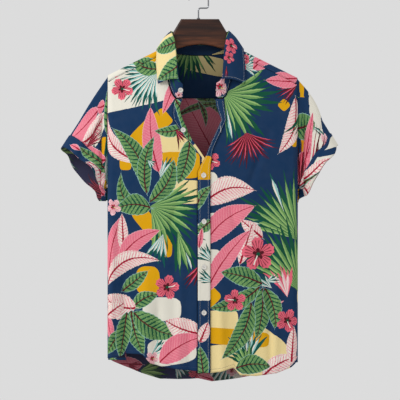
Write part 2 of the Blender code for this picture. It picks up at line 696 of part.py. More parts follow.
def sleeve_point(side_name, share_round, share_down):
    """Points on a sleeve's inner face, by share round it and share from armhole to end."""
    data = SLEEVES[side_name]
    side = data["side"]
    start = armhole(side, share_round)
    along_edge = armhole(side, share_round + 0.004) - armhole(side, share_round - 0.004)
    inward = np.stack([np.zeros(len(start)), -along_edge[:, 2], along_edge[:, 1]], axis=1)
    inward /= np.linalg.norm(inward, axis=1, keepdims=True)
    way_down = 1 - np.abs(1 - 2 * (share_round % 1.0))
    inset = LAYER + UNDERARM_CLEAR * smooth((way_down - 0.25) / 0.3)
    shift = inward * inset[:, None]
    most = 0.6 * np.abs(start[:, 1])  # so that the ring stays open where it is narrow
    shift[:, 1] = np.clip(shift[:, 1], -most, most)
    start = start + shift
    reach = np.maximum(side * (start[:, 0] - BODY_X), HALF_WIDTH - UNDERARM_REACH)
    start[:, 0] = BODY_X + side * (reach - SLEEVE_INSET)
    top = np.array([data["top"][0], 0, data["top"][1]]) * MM
    low = np.array([data["low"][0], 0, data["low"][1]]) * MM
    centre, half = (top + low) / 2, (top - low) / 2
    run = np.array([half[2], 0, -half[0]]) * side
    run /= np.linalg.norm(run)
    angle = share_round * 2 * math.pi
    depth = data["depth"] * MM
    end = centre + np.cos(angle)[:, None] * half
    pinch = 1 - SLEEVE_PINCH * smooth((way_down - 0.45) / 0.4)
    end[:, 1] = -np.sin(angle) * depth * pinch
    tilt = np.where(np.sin(angle) > 0, data["front"], data["back"]) * np.abs(np.sin(angle)) * MM
    end = end + run * tilt[:, None]
    down = np.asarray(share_down)[:, None]
    way = start + (end - start) * down
    forward = np.clip(down, 0, None) ** 1.6
    way[:, 1] = (start[:, 1:2] + (end[:, 1:2] - start[:, 1:2]) * forward)[:, 0]
    cap = np.sin(math.pi * np.clip(down[:, 0] * 1.6, 0, 1)) * np.clip(np.cos(angle), 0, 1) ** 2
    way[:, 0] += side * cap * data["cap"] * MM
    for fold in SLEEVE_FOLDS:
        shape = np.exp(-(((share_round % 1.0 - fold["share"]) / fold["width"]) ** 2))
        rise = smooth(down[:, 0] / 0.5) * fold["height"] * MM
        way[:, 1] += np.where(share_round % 1.0 < 0.5, -1, 1) * shape * rise
    return way


def sleeve_lift(side_name, share_round, share_down, lift):
    """Points moved out of a sleeve's inner face."""
    step = 0.01
    across = sleeve_point(side_name, share_round + step, share_down) - sleeve_point(
        side_name, share_round - step, share_down
    )
    down = sleeve_point(side_name, share_round, share_down + step) - sleeve_point(
        side_name, share_round, share_down - step
    )
    normal = np.cross(across, down) * SLEEVES[side_name]["side"]
    normal /= np.linalg.norm(normal, axis=1, keepdims=True)
    return sleeve_point(side_name, share_round, share_down) + normal * lift


def sleeve_wall(name, side_name, rows_down, lift, look):
    """A ring of cloth round a sleeve, through rows of shares down it."""
    shares = np.linspace(0, 1, SLEEVE_AROUND + 1)
    sides = []
    for height in (lift, lift + WALL):
        points = np.array([sleeve_lift(side_name, shares, down, height) for down in rows_down])
        points[:, -1] = points[:, 0]
        sides.append(points)
    return wall(name, *sides, look, closed=True)


def cuff_start(side_name, shares):
    """Share down a sleeve where its cuff ends, clear of the body's side."""
    ends = sleeve_point(side_name, shares, np.ones(len(shares)))
    starts = sleeve_point(side_name, shares, np.zeros(len(shares)))
    length = np.linalg.norm(ends - starts, axis=1)
    out = SLEEVES[side_name]["side"] * (ends[:, 0] - BODY_X) - HALF_WIDTH - CUFF_CLEAR
    across = np.abs(ends[:, 0] - starts[:, 0])
    return np.clip(1 - np.minimum(CUFF_HEIGHT / length, out / across), 0.3, 0.93)


def sleeve(name, side_name, look):
    start = cuff_start(side_name, np.linspace(0, 1, SLEEVE_AROUND + 1))
    upper = [start * share for share in np.linspace(0, 1, SLEEVE_ROWS)]
    lower = [start + (1 - start) * share for share in (0.5, 1)]
    return sleeve_wall(name, side_name, upper + lower, 0.0, look)


def cuff(name, side_name, look):
    """The end of the sleeve, folded up and lying round it."""
    start = cuff_start(side_name, np.linspace(0, 1, SLEEVE_AROUND + 1))
    rows = [start + (1 - start) * share for share in (0, 0.5, 1)]
    return sleeve_wall(name, side_name, rows, LAYER, look)


# Buttons


def button_seat(row):
    """Where a button lies, and the direction that it faces."""
    if row["on"] == "stand":
        shares = np.array([row["share"] - 0.01, row["share"], row["share"] + 0.01])
        stand = stand_points(shares, (0.3, 0.5, 0.7))
        core = np.array([NECK_X, 0, stand[..., 2].mean()])
        seat = thickened(stand, WALL + SEAM, core)[1, 1]
        return seat, seat - stand[1, 1]
    lift = {"placket": LAYER + PLACKET_WALL, "band": WALL}[row["on"]] + SEAM
    path, z = np.array([row["x"] * MM - BODY_X]), np.array([row["z"] * MM])
    seat = front_points(path, z, lift)[0]
    return seat, front_points(path, z, lift + MM)[0] - seat


def button(row, look):
    here, out = button_seat(row)
    bm = bmesh.new()
    bmesh.ops.create_cone(
        bm, cap_ends=True, segments=18, radius1=BUTTON_RADIUS, radius2=BUTTON_RADIUS,
        depth=BUTTON_HEIGHT, matrix=Matrix.Translation((0, 0, BUTTON_HEIGHT / 2)),
    )
    top = [face for face in bm.faces if face.normal.z > 0.9]
    bmesh.ops.inset_region(bm, faces=top, thickness=BUTTON_RIM, depth=0)
    top = [face for face in bm.faces if face.normal.z > 0.9 and len(face.verts) > 4]
    bmesh.ops.inset_region(bm, faces=top, thickness=BUTTON_DISH, depth=-BUTTON_DISH)
    mesh = bpy.data.meshes.new(row["name"])
    bm.to_mesh(mesh)
    bm.free()
    made = bpy.data.objects.new(row["name"], mesh)
    made.location = Vector(here)
    made.rotation_euler = Vector(out).to_track_quat("Z", "Y").to_euler()
    mesh.materials.append(look)
    bpy.context.collection.objects.link(made)
    return made


# Hanger


def arch_at(x):
    """A point of the board's underside, by its distance from the middle."""
    past = max(x - ARCH_BEND, 0)
    return (x, ARCH_TOP_Z - ARCH_RISE * x**2 - ARCH_BEND_RISE * past**2)


def board_outline():
    """The right half of the board's outline, from the top's middle round to the underside's middle."""
    points = [(0.0, BOARD_TOP_Z), (BOARD_TOP_HALF, BOARD_TOP_Z)]
    points += [(x * MM, z * MM) for x, z in BOARD_SIDE]
    for x in np.linspace(ARM_START, ARM_END - 8 * MM, 8):
        points.append((x, float(shoulder_line(NECK_X + x)) - ARM_UNDER_CLOTH))
    tip_top = points[-1][1]
    middle = tip_top - ARM_END_HEIGHT / 2 - 3 * MM
    for angle in (50, 15, -20, -55):
        turn = math.radians(angle)
        x = ARM_END - 8 * MM + 9 * MM * math.cos(turn)
        points.append((x, middle + ARM_END_HEIGHT / 2 * math.sin(turn)))
    low_end = (ARM_END - 10 * MM, middle - ARM_END_HEIGHT / 2)
    arch_end = arch_at(ARCH_END)
    for share in np.linspace(0, 1, 5, endpoint=False):
        points.append(tuple(np.array(low_end) + (np.array(arch_end) - np.array(low_end)) * share))
    points += [arch_at(float(x)) for x in np.linspace(ARCH_END, 0, 7)]
    return points


def hanger_board(look):
    half = board_outline()
    outline = half + [(-x, z) for x, z in half[-2:0:-1]]
    bm = bmesh.new()
    corners = [bm.verts.new((NECK_X + x, -BOARD_THICK / 2, z)) for x, z in outline]
    face = bm.faces.new(corners)
    grown = bmesh.ops.extrude_face_region(bm, geom=[face])
    moved = [item for item in grown["geom"] if isinstance(item, bmesh.types.BMVert)]
    bmesh.ops.translate(bm, verts=moved, vec=(0, BOARD_THICK, 0))
    bmesh.ops.recalc_face_normals(bm, faces=bm.faces)
    rims = [edge for edge in bm.edges if abs(edge.verts[0].co.y - edge.verts[1].co.y) < MM]
    bmesh.ops.bevel(bm, geom=rims, offset=BOARD_BEVEL, segments=2, profile=0.5, affect="EDGES", material=-1)
    bmesh.ops.remove_doubles(bm, verts=bm.verts, dist=0.02 * MM)
    bmesh.ops.triangulate(bm, faces=bm.faces, ngon_method="EAR_CLIP")
    mesh = bpy.data.meshes.new("hanger_board")
    bm.to_mesh(mesh)
    bm.free()
    mesh.materials.append(look)
    made = bpy.data.objects.new("hanger_board", mesh)
    bpy.context.collection.objects.link(made)
    return made


def hook_route():
    """The wire's centre line: up from the board, a step to the side, and the arc over the rail."""
    route = [(0.0, BOARD_TOP_Z + SEAM), (0.0, BOARD_TOP_Z + 8 * MM)]
    for angle in (0, 30, 60, 90):
        turn = math.radians(angle)
        route.append((HOOK_BEND * (1 - math.cos(turn)), HOOK_STEP_Z - HOOK_BEND * (1 - math.sin(turn))))
    for angle in (0, 30, 60, 90):
        turn = math.radians(angle)
        side = HOOK_RADIUS - HOOK_BEND * (1 - math.sin(turn))
        route.append((side, HOOK_STEP_Z + HOOK_BEND * (1 - math.cos(turn))))
    centre = -(HOOK_RADIUS - WIRE_RADIUS)
    for angle in np.linspace(0, HOOK_TIP_ANGLE, 19):
        turn = math.radians(angle)
        route.append((HOOK_RADIUS * math.cos(turn), centre + HOOK_RADIUS * math.sin(turn)))
    return route


def hanger_hook(look):
    path = bpy.data.curves.new("hanger_hook", "CURVE")
    path.dimensions = "3D"
    path.bevel_depth = WIRE_RADIUS
    path.bevel_resolution = 2
    path.use_fill_caps = True
    line = path.splines.new("POLY")
    route = hook_route()
    line.points.add(len(route) - 1)
    for point, (x, z) in zip(line.points, route):
        point.co = (x, 0, z, 1)
    path.materials.append(look)
    made = bpy.data.objects.new("hanger_hook", path)
    bpy.context.collection.objects.link(made)
    return made


def hook_ferrule(look):
    """A ring round the hook's foot, on the board's top."""
    hole = WIRE_RADIUS + SEAM
    low = BOARD_TOP_Z + SEAM
    profile = [
        (hole, low), (FERRULE_RADIUS, low), (FERRULE_RADIUS, low + FERRULE_HEIGHT * 0.7),
        (FERRULE_RADIUS - 0.8 * MM, low + FERRULE_HEIGHT), (hole, low + FERRULE_HEIGHT),
    ]
    bm = bmesh.new()
    corners = [bm.verts.new((x, 0, z)) for x, z in profile]
    edges = [bm.edges.new((corners[i], corners[(i + 1) % len(corners)])) for i in range(len(corners))]
    bmesh.ops.spin(
        bm, geom=corners + edges, cent=(0, 0, 0), axis=(0, 0, 1), dvec=(0, 0, 0),
        angle=2 * math.pi, steps=20, use_merge=True,
    )
    bmesh.ops.recalc_face_normals(bm, faces=bm.faces)
    mesh = bpy.data.meshes.new("hook_ferrule")
    bm.to_mesh(mesh)
    bm.free()
    mesh.materials.append(look)
    made = bpy.data.objects.new("hook_ferrule", mesh)
    bpy.context.collection.objects.link(made)
    return made


def main():
    clear_scene()
    print_cloth = material("printed_cloth", (0.02, 0.05, 0.16), 0.85)
    leaf_cloth = material("printed_cloth_collar", (0.06, 0.25, 0.12), 0.85)
    pearl = material("button_pearl", (0.85, 0.84, 0.80), 0.3)
    walnut = material("walnut", (0.045, 0.018, 0.010), 0.45)
    chrome = material("chrome_wire", (0.8, 0.8, 0.82), 0.15, 1.0)
    front_panel("front_right", -1, print_cloth)
    front_panel("front_left", 1, print_cloth)
    back_panel(print_cloth)
    yoke_panel("yoke", 0.0, 0, print_cloth)
    yoke_panel("yoke_inner", -LAYER, 1, leaf_cloth)
    strip("button_band", "band", -1, 0.0, WALL, STRIP_TOP, print_cloth)
    strip("placket", "placket", 1, LAYER, PLACKET_WALL, STRIP_TOP, print_cloth)
    collar_stand(leaf_cloth)
    collar_leaf(leaf_cloth)
    for name in SLEEVES:
        sleeve("sleeve_" + name, name, print_cloth)
        cuff("cuff_" + name, name, print_cloth)
    for row in BUTTONS:
        button(row, pearl)
    hanger_board(walnut)
    hook_ferrule(chrome)
    hanger_hook(chrome)


main()
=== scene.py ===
"""Short-sleeved shirt, printed with palm leaves and flowers, on a flat wooden hanger.

Metres, +Z up, the shirt's front towards -Y; the origin is the inner top of the hanger's hook.
All cloth lies on one body surface, given by the path across from the body's middle and the height.
The print is drawn by the material: each face carries the places of the few motifs that cross it.
"""

import math
from functools import cache

import bmesh
import bpy
import numpy as np
from bpy.props import FloatProperty, FloatVectorProperty, PointerProperty
from mathutils import Matrix, Vector


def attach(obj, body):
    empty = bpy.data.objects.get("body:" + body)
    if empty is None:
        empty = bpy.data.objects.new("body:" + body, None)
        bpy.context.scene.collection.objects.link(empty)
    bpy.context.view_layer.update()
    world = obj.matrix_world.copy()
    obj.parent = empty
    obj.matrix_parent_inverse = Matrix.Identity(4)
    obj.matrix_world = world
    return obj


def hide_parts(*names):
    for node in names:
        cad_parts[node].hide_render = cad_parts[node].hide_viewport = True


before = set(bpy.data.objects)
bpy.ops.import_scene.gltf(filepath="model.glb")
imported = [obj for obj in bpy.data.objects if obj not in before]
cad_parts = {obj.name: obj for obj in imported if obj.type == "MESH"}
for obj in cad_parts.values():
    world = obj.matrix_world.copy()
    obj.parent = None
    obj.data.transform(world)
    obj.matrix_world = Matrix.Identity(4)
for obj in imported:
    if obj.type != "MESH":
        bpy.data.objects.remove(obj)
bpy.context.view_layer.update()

bl_info = {
    "name": "Printed shirt on a hanger",
    "version": (1, 0, 0),
    "blender": (4, 5, 0),
    "location": "View3D > Sidebar > Shirt",
    "description": "Builds a printed short-sleeved shirt, its stitching and its hanger",
    "category": "Add Mesh",
}

MM = 0.001
ROOT = "root"


def values(line):
    """A line's words, its numbers as numbers."""
    return [float(word) if word.strip("-.0123456789") == "" else word for word in line.split()]


def table(text):
    """Rows of a table as dictionaries; its first line names the columns."""
    names, *rows = [values(line) for line in text.strip().splitlines()]
    return [dict(zip(names, row)) for row in rows]


def keyed(text):
    """A table's rows by their first column."""
    return {next(iter(row.values())): row for row in table(text)}


def print_rows(text):
    """Rows of a print; one that starts with a number is of the kind named last."""
    rows = []
    for row in map(values, text.strip().splitlines()):
        rows.append(row if isinstance(row[0], str) else [rows[-1][0], *row])
    return rows


# Cloth
WALL = 1.5 * MM  # modelled thickness of one cloth layer
SEAM = 0.3 * MM  # gap between pieces that meet
LAYER = WALL + SEAM  # lift of a piece that lies on another
PLACKET_WALL = 2.2 * MM  # the folded buttonhole strip

# Shirt body
BODY_X = 9.2 * MM  # the body hangs this far to the wearer's left of the hook
HALF_WIDTH = 208.2 * MM
DEPTH = {"front": 38 * MM, "back": 33 * MM}
BOW = 0.16  # how much shallower the body is at its sides than in its middle
DEPTH_RUN = 150 * MM  # drop over which the body reaches its depth
RIDGE_RADIUS = 11 * MM  # the cloth's bend over the hanger's arms
SIDE_ROLL = 12 * MM  # width of the roll where a panel turns to the side
FLAT_HALF = HALF_WIDTH - SIDE_ROLL
ROLL_PATH = 25 * MM  # cloth in the roll
TUCK_PATH = 46 * MM  # cloth in the tuck at the side
TUCK = 40 * MM  # how far the side folds in between front and back
TUCK_ABOVE = 0.85  # share of that above the underarm
TUCK_RUN = 120 * MM  # drop below the underarm over which the rest is reached
TUCK_SHARE = 0.55  # depth left at the roll's end, of the panel's depth

# Shoulders and neck
NECK_X = 3.3 * MM  # the collar and the hanger are centred here
NECK_HALF = 79.2 * MM
NECK_TOP = -132.4 * MM  # the shoulder line's height beside the neck
CORE = NECK_X, 0, -200 * MM  # a point inside the shirt, for telling its outer side
SHOULDER_SLOPE = 0.5
FRONT_SEAM_RUN = 20 * MM  # the yoke comes this far over to the front
YOKE_SEAM_Z = -243 * MM  # seam across the back

# Armholes and sleeves
UNDERARM_Z = -470 * MM
UNDERARM_BEND = 50 * MM
SLEEVE_INSET = 1 * MM  # the sleeve starts this far inside the armhole's edge
UNDERARM_CLEAR = 2 * MM  # more room round the sleeve where it lies in the body's tuck
UNDERARM_REACH = 20 * MM  # how far the sleeve goes into that tuck

# Stations from the right front's end round the back to the left front's end. across, run: the neck
# seam, from the neck's centre and from the shoulder line, + to the front; then the collar's fold
# and the leaf's outer edge, from the neck's centre.
COLLAR = table("""
across run fold_x fold_z fold_y edge_x edge_z
-37 118 -37.5 -215 -42 -84 -213
-53 118.5 -46 -203 -44 -91 -213
-65 95 -48.5 -180 -42 -94 -192
-73 55 -51.5 -142 -33 -96 -166
-78 20 -57 -112 -17 -95 -147
-79.2 0 -62 -97 2 -93 -138
-70 -15 -56 -98 24 -84 -148
-40 -21 -33 -106 37 -48 -158
0 -23 0 -109 41 0 -160
40 -21 33 -106 37 48 -158
70 -15 56 -98 24 84 -148
79.2 0 62 -97 2 94 -138
78 20 57 -112 -17 96 -147
73 55 52.5 -142 -33 98 -166
64 90 50 -180 -42 99 -192
53 118 46.5 -203 -44 98 -213
35 118 36 -212 -42 90 -213
""")
LAST = len(COLLAR) - 1
LEAF_START = 1  # the leaf starts and ends this many stations short of the stand's tabs
YOKE_STATION = 4  # and the yoke this many
LEAF_CLEAR = 3.6 * MM  # between the body and the leaf
LEAF_ARCH = 4 * MM
STAND_LIFT = 2.6 * MM  # of the stand's lower edge above the neck seam, in front
STAND_LIFT_BACK = 0.5 * MM
STAND_FADE = 12 * MM
NECK_CLEAR = 2.2 * MM  # between the panels' neck edges and the collar's seam, in front
NECK_CLEAR_BACK = 0.8 * MM
NECK_FADE = 15 * MM
NECK_CENTRE_RUN = 45 * MM

# The opening, by height. band and placket: the strips' outer and inner edges across the front.
OPENING = table("""
z band_0 band_1 placket_0 placket_1
-246 -50.5 -34.5 37.5 55.5
-262 -54.8 -42 38.7 57
-279 -56.3 -39 45 59
-293 -54.5 -34 50 60.5
-308 -45.5 -27 43.5 54
-334 -26.5 -15.5 31.5 42
-356 -6.5 0 22 32
-376 8 13.5 14.3 28.6
-392 6 23 4.8 26.4
-407 -0.6 24.2 -1.1 26
-430 -1.2 24.4 -1.3 26
-450 -1.2 24.4 -1.3 26
-472 -1.2 24.4 -1.3 26
-860 -1.2 24.4 -1.3 26
""")
STRIP_TOP = -247.5 * MM
PLACKET_OVERLAP = 1.0 * MM

# Hems, by place across from the hook
FRONT_HEM = table("""
x z
-205 -817
-181 -814
-155 -806
-124 -807
-106 -827
-80 -834
-45 -840
-2 -844
26 -848
50 -845
77 -836
92 -853
125 -855
171 -849
203 -836
222 -822
""")
BACK_HEM = table("""
x z
-205 -819
-192 -825
-161 -838
-126 -852
-84 -865
-45 -866
0 -864
31 -871
69 -866
125 -857
171 -848
203 -836
222 -824
""")

# How strong the smaller creases are, against the heights in their tables
CREASE_STRENGTH = 1.15


def creases(text):
    """Rows of a table of creases, made stronger."""
    return [{**row, "height": row["height"] * CREASE_STRENGTH} for row in table(text)]


# Soft folds of the body and then smaller creases: height is + for a ridge and - for a trough.
FOLDS = table("""
face x slant width height top end
front -140 -0.06 20 -6 -560 -830
front -112 -0.05 17 5 -600 -850
front -58 0.05 17 -4 -440 -760
front 78 0.04 18 -6 -600 -860
front 120 -0.1 22 4 -420 -850
back -120 0.05 24 -6 -330 -850
back -45 -0.03 26 5 -300 -870
back 60 0.04 24 -5 -340 -870
back 140 -0.05 22 5 -380 -850
""") + creases("""
face x slant width height top end
front -186 -0.03 8 4.4 -470 -790
front -166 0.03 9 -4.8 -590 -800
front -88 -0.02 9 -4.4 -650 -850
front -36 -0.03 10 4 -560 -850
front -22 0.02 6 -2.8 -700 -850
front 46 0.03 9 4.8 -640 -860
front 99 -0.03 8 5.2 -690 -870
front 150 0.04 9 -4.8 -560 -860
front 182 -0.05 8 4 -500 -840
front -150 0.42 9 -4 -300 -420
front -128 0.36 8 3.2 -330 -430
front 166 -0.4 9 -4.4 -290 -430
front 138 -0.34 8 3.2 -340 -440
front -30 -0.3 7 -2.4 -420 -500
front 52 0.28 7 -2.6 -420 -520
back -172 0.04 10 5.2 -400 -840
back -86 0.03 9 4.8 -560 -870
back -14 -0.02 10 -5.2 -620 -880
back 26 0.03 9 4 -500 -870
back 98 -0.03 9 -4.8 -640 -870
back 178 -0.04 9 -4.4 -420 -840
back -150 0.45 10 -4.8 -290 -420
back 168 -0.42 10 -4.4 -300 -430
""")
FOLD_FADE = 90  # length over which a fold comes and goes, in millimetres

# Sleeve ends: the upper and lower corner of the opening, its half depth, how far the front and the
# back of the rim lie along the sleeve, and the cap's rise
SLEEVES = keyed("""
name side top_x top_z low_x low_z depth front back cap
right -1 -302 -355.5 -217 -468 40 -23 4 2
left 1 304.5 -348 220 -471 38 5 -3 9
""")
# Folds and creases down the sleeves. share: round the sleeve from its top over the front; slant:
# how far round a fold moves on the way down; from, over, to: where it starts, comes up and ends;
# height as for FOLDS
SLEEVE_FOLDS = table("""
share slant width height from over to
0.17 0 0.035 -5 0 0.5 2
0.27 0 0.035 4 0 0.5 2
0.38 0 0.03 -5 0 0.5 2
0.66 0 0.04 -5 0 0.5 2
0.8 0 0.04 4 0 0.5 2
""") + creases("""
share slant width height from over to
0.1 0.05 0.016 3.2 0.15 0.25 1
0.23 -0.04 0.014 -3.6 0.35 0.25 1
0.32 0.05 0.014 3.6 0.2 0.25 0.9
0.43 -0.05 0.012 -2.8 0.1 0.25 0.7
0.6 0.05 0.014 3.2 0.15 0.25 0.9
0.72 -0.04 0.014 -3.2 0.3 0.25 1
0.9 -0.05 0.016 -3.2 0.1 0.25 0.9
""")
# Folds along the armhole. away: how far from it
SLEEVE_TUCKS = table("""
away width height
11 5 3
21 4.5 -7
""")
# Unevenness of the sleeves' ends, along them. turns: waves round the end
END_WAVES = table("""
turns start size
3 0.1 2.2
5 0.55 2
8 0.3 1.2
""")
SLEEVE_PINCH = 0.62  # how much the body's sides press the sleeve flat at the underarm
SLEEVE_FLARE = 1.6  # how late, on its way down, the sleeve takes the depth of its end
CAP_SHARE = 1 / 1.6  # the sleeve's cap stands out over this much of its length
SHIFT_SHARE = 0.6  # most of the armhole's depth that the gap may take, so that it stays open
EDGE_STEP = 0.004  # of the way round, for the direction of an edge
ARMHOLE_FULLNESS = 1.25
# Where round a sleeve, from its top at 0 to its underarm at 1, something starts, and over how much it
# comes up: the wider gap at the armhole, the flattening of the end, and the armhole's folds, which
# also end again
GAP_START, GAP_OVER = 0.25, 0.3
PINCH_START, PINCH_OVER = 0.45, 0.4
TUCKS_START, TUCKS_END, TUCKS_OVER = 0.12, 0.86, 0.2
CUFF_HEIGHT = 31 * MM
CUFF_CLEAR = 5 * MM

# Buttons
BUTTON_RADIUS = 5.65 * MM
BUTTON_HEIGHT = 1.95 * MM
DISH_RADIUS = 2.9 * MM
DISH_LEVEL = 0.62  # of the height
HOLE_RADIUS = 0.62 * MM
HOLE_PLACE = 1.05 * MM
DISC_SEGMENTS = 32
HOLE_SEGMENTS = 10
BUTTONHOLE_HALF = 7 * MM  # half a buttonhole's length
BUTTONHOLE_STITCHES = 22
BUTTONHOLE_SIDE = 0.65 * MM  # from the slit to the middle of the stitches
# on: the piece that carries it; on the stand, x and z are shares along and across it
FASTENINGS = table("""
name on x z
button_neck stand 0.03 0.5
button_top band -33.5 -315
button_1 placket 11.5 -414.5
button_2 placket 12.3 -516
button_3 placket 12.3 -615.5
button_4 placket 12.3 -716
open_top placket 48.5 -313
open_neck stand 0.972 0.5
""")
BUTTONS, BUTTONHOLES = FASTENINGS[:6], FASTENINGS[2:]  # the last two holes are undone
BUTTON_LIFT = {"placket": LAYER + PLACKET_WALL, "band": WALL}

# Grids
STEP = 4.5 * MM  # longest step between a panel's rows
WELD = 0.001 * MM  # points this close become one
FRONT_COLUMNS = 46
SEAM_BEND = 0.2  # shares of a front's height over which its rows bend into the seam and the hem
HEM_BEND = 0.25
SIDE_COLUMNS = 18
BACK_ROWS = 142
YOKE_ROWS = np.array([-90, -26, 20]) * MM  # typical runs over the shoulder line, from the yoke's seam
YOKE_STEP = 4 * MM
YOKE_ARM_COLUMNS = 30
YOKE_NECK_HALF = 125 * MM  # half width, at the yoke seam, of the columns that reach the neck
NECK_COLUMNS = 39
NECK_ROWS = 5
LOWER_ROWS = 8
STRIP_COLUMNS = 9
STAND_COLUMNS = 149
STAND_ROWS = 10
LEAF_ROWS = 22
SLEEVE_AROUND = 108
SLEEVE_ROWS = 26  # above the cuff
CUFF_ROWS = 9
CUFF_SHARES = 0.3, 0.93  # of a sleeve's length, between which its cuff starts
SLEEVE_TOP_ROUND = 520 * MM  # length of cloth round a sleeve at the armhole and at its end
SLEEVE_END_ROUND = 360 * MM
EDGE_SAMPLES = 600  # points on a seam; on one round a piece, these at its foot and its sides
ROUND_SAMPLES = 700
SIDE_SAMPLES = 120

# Stage
VIEW_CENTRE = Vector((NECK_X, -0.02, -0.4686))
KEY_PLACE = Vector((-2.4, -1.6, 1.1))
BACK_PLACE = Vector((1.4, 2.2, 0.8))
LIGHT_AIM = Vector((0, 0, -0.45))
LIGHT_SIZE = 1.4
FLOOR_Z = -1.15
FLOOR_RADIUS = 2.0

# Cloth pieces: material slot, the print's looks outside and inside, the thickness, what each hangs
# from, where its repeat of the print starts; whether it is a tube, its own print is placed on the
# flat cloth, or it is a straight strip
# the lining look is the print darkened by painted shade; the wrong look is the cloth's duller back, partly
# darkened by painted shade
PIECES = keyed("""
piece slot outside inside thick on shift_x shift_y closed direct strip
front_right printed_cloth cotton wrong thickness yoke_cloth 0 0 0 0 0
front_left printed_cloth cotton wrong thickness yoke_cloth 0 0 0 0 0
back printed_cloth cotton wrong thickness yoke_cloth 170 95 0 1 0
yoke printed_cloth cotton wrong thickness yoke_inner_cloth 0 0 0 0 0
yoke_inner printed_cloth_collar lining lining thickness hanger_board 0 0 0 0 0
collar_stand printed_cloth_collar cotton lining doubled yoke_cloth 0 0 0 0 0
collar_leaf printed_cloth_collar cotton wrong doubled collar_stand_cloth 60 140 0 0 0
placket printed_cloth cotton wrong doubled front_left_cloth 0 0 0 1 1
button_band printed_cloth cotton wrong thickness front_right_cloth 0 0 0 1 1
sleeve_right printed_cloth cotton wrong thickness yoke_cloth 40 320 1 0 0
sleeve_left printed_cloth cotton wrong thickness yoke_cloth -120 210 1 0 0
cuff_right printed_cloth cotton wrong thickness sleeve_right_cloth 0 0 1 0 0
cuff_left printed_cloth cotton wrong thickness sleeve_left_cloth 90 60 1 0 0
""")

# The print's motifs and the colours of their parts
MOTIFS = table("""
kind body second line rib rim veins
green_leaf leaf_green dark_green light_green maroon teal 0.34
pink_leaf pink light_pink light_pink dark_red pale_pink 0.3
white_leaf white pink pale_pink dark_red white 0.22
palm mid_green dark_green light_green maroon light_green 0
teal_palm teal dark_teal white white white 0
spikes dark_red maroon coral maroon maroon 0
bird pale_pink coral white white white 0
hibiscus coral dark_red coral maroon white 0
blossom pale_pink coral white dark_red yellow 0
""")
KINDS = [row["kind"] for row in MOTIFS]
# Kinds are numbered from 1; a number above one of these is of a kind after the one it is made from.
AFTER_GREEN, AFTER_PINK, AFTER_LEAVES, AFTER_PALMS, AFTER_SPIKES, AFTER_FANS = (
    KINDS.index(kind) + 1.5 for kind in "green_leaf pink_leaf white_leaf teal_palm spikes bird".split()
)
NOTHING = 0.5  # a kind or tone below this is none
TONES = ["navy", "cream", "yellow", "mustard"]
TILE = (520, 720)  # the print repeats after this much cloth, in millimetres
ONCE = 1000.0  # a repeat for what comes only once
MARGIN = 5 * MM  # faces this close to a motif carry it
NEAREST = 16  # points of a piece that tell where a seen place lies on the flat cloth
LAYERS = {"motif": 5, "patch": 3}  # how many of each a face carries
BLADE_BASE = 0.40  # half width of a fan's blade: this times the way out from the fan's base
BLADE_TIP = 0.30  # and at most this, less towards its tip, both by the step between blades
BLADE_CURVE = 0.22  # how far the blades curve apart

# How fine the textures are: about how many of their bumps go into a metre
WAVES, GRAIN, WEAR, CRINKLES, THREADS = 160.0, 330.0, 45.0, 70.0, 420.0
# the board goes lighter and redder on its strong grain below this height
BOARD_LOW_TONE_Z = -86 * MM  # the board's lights come up below this height

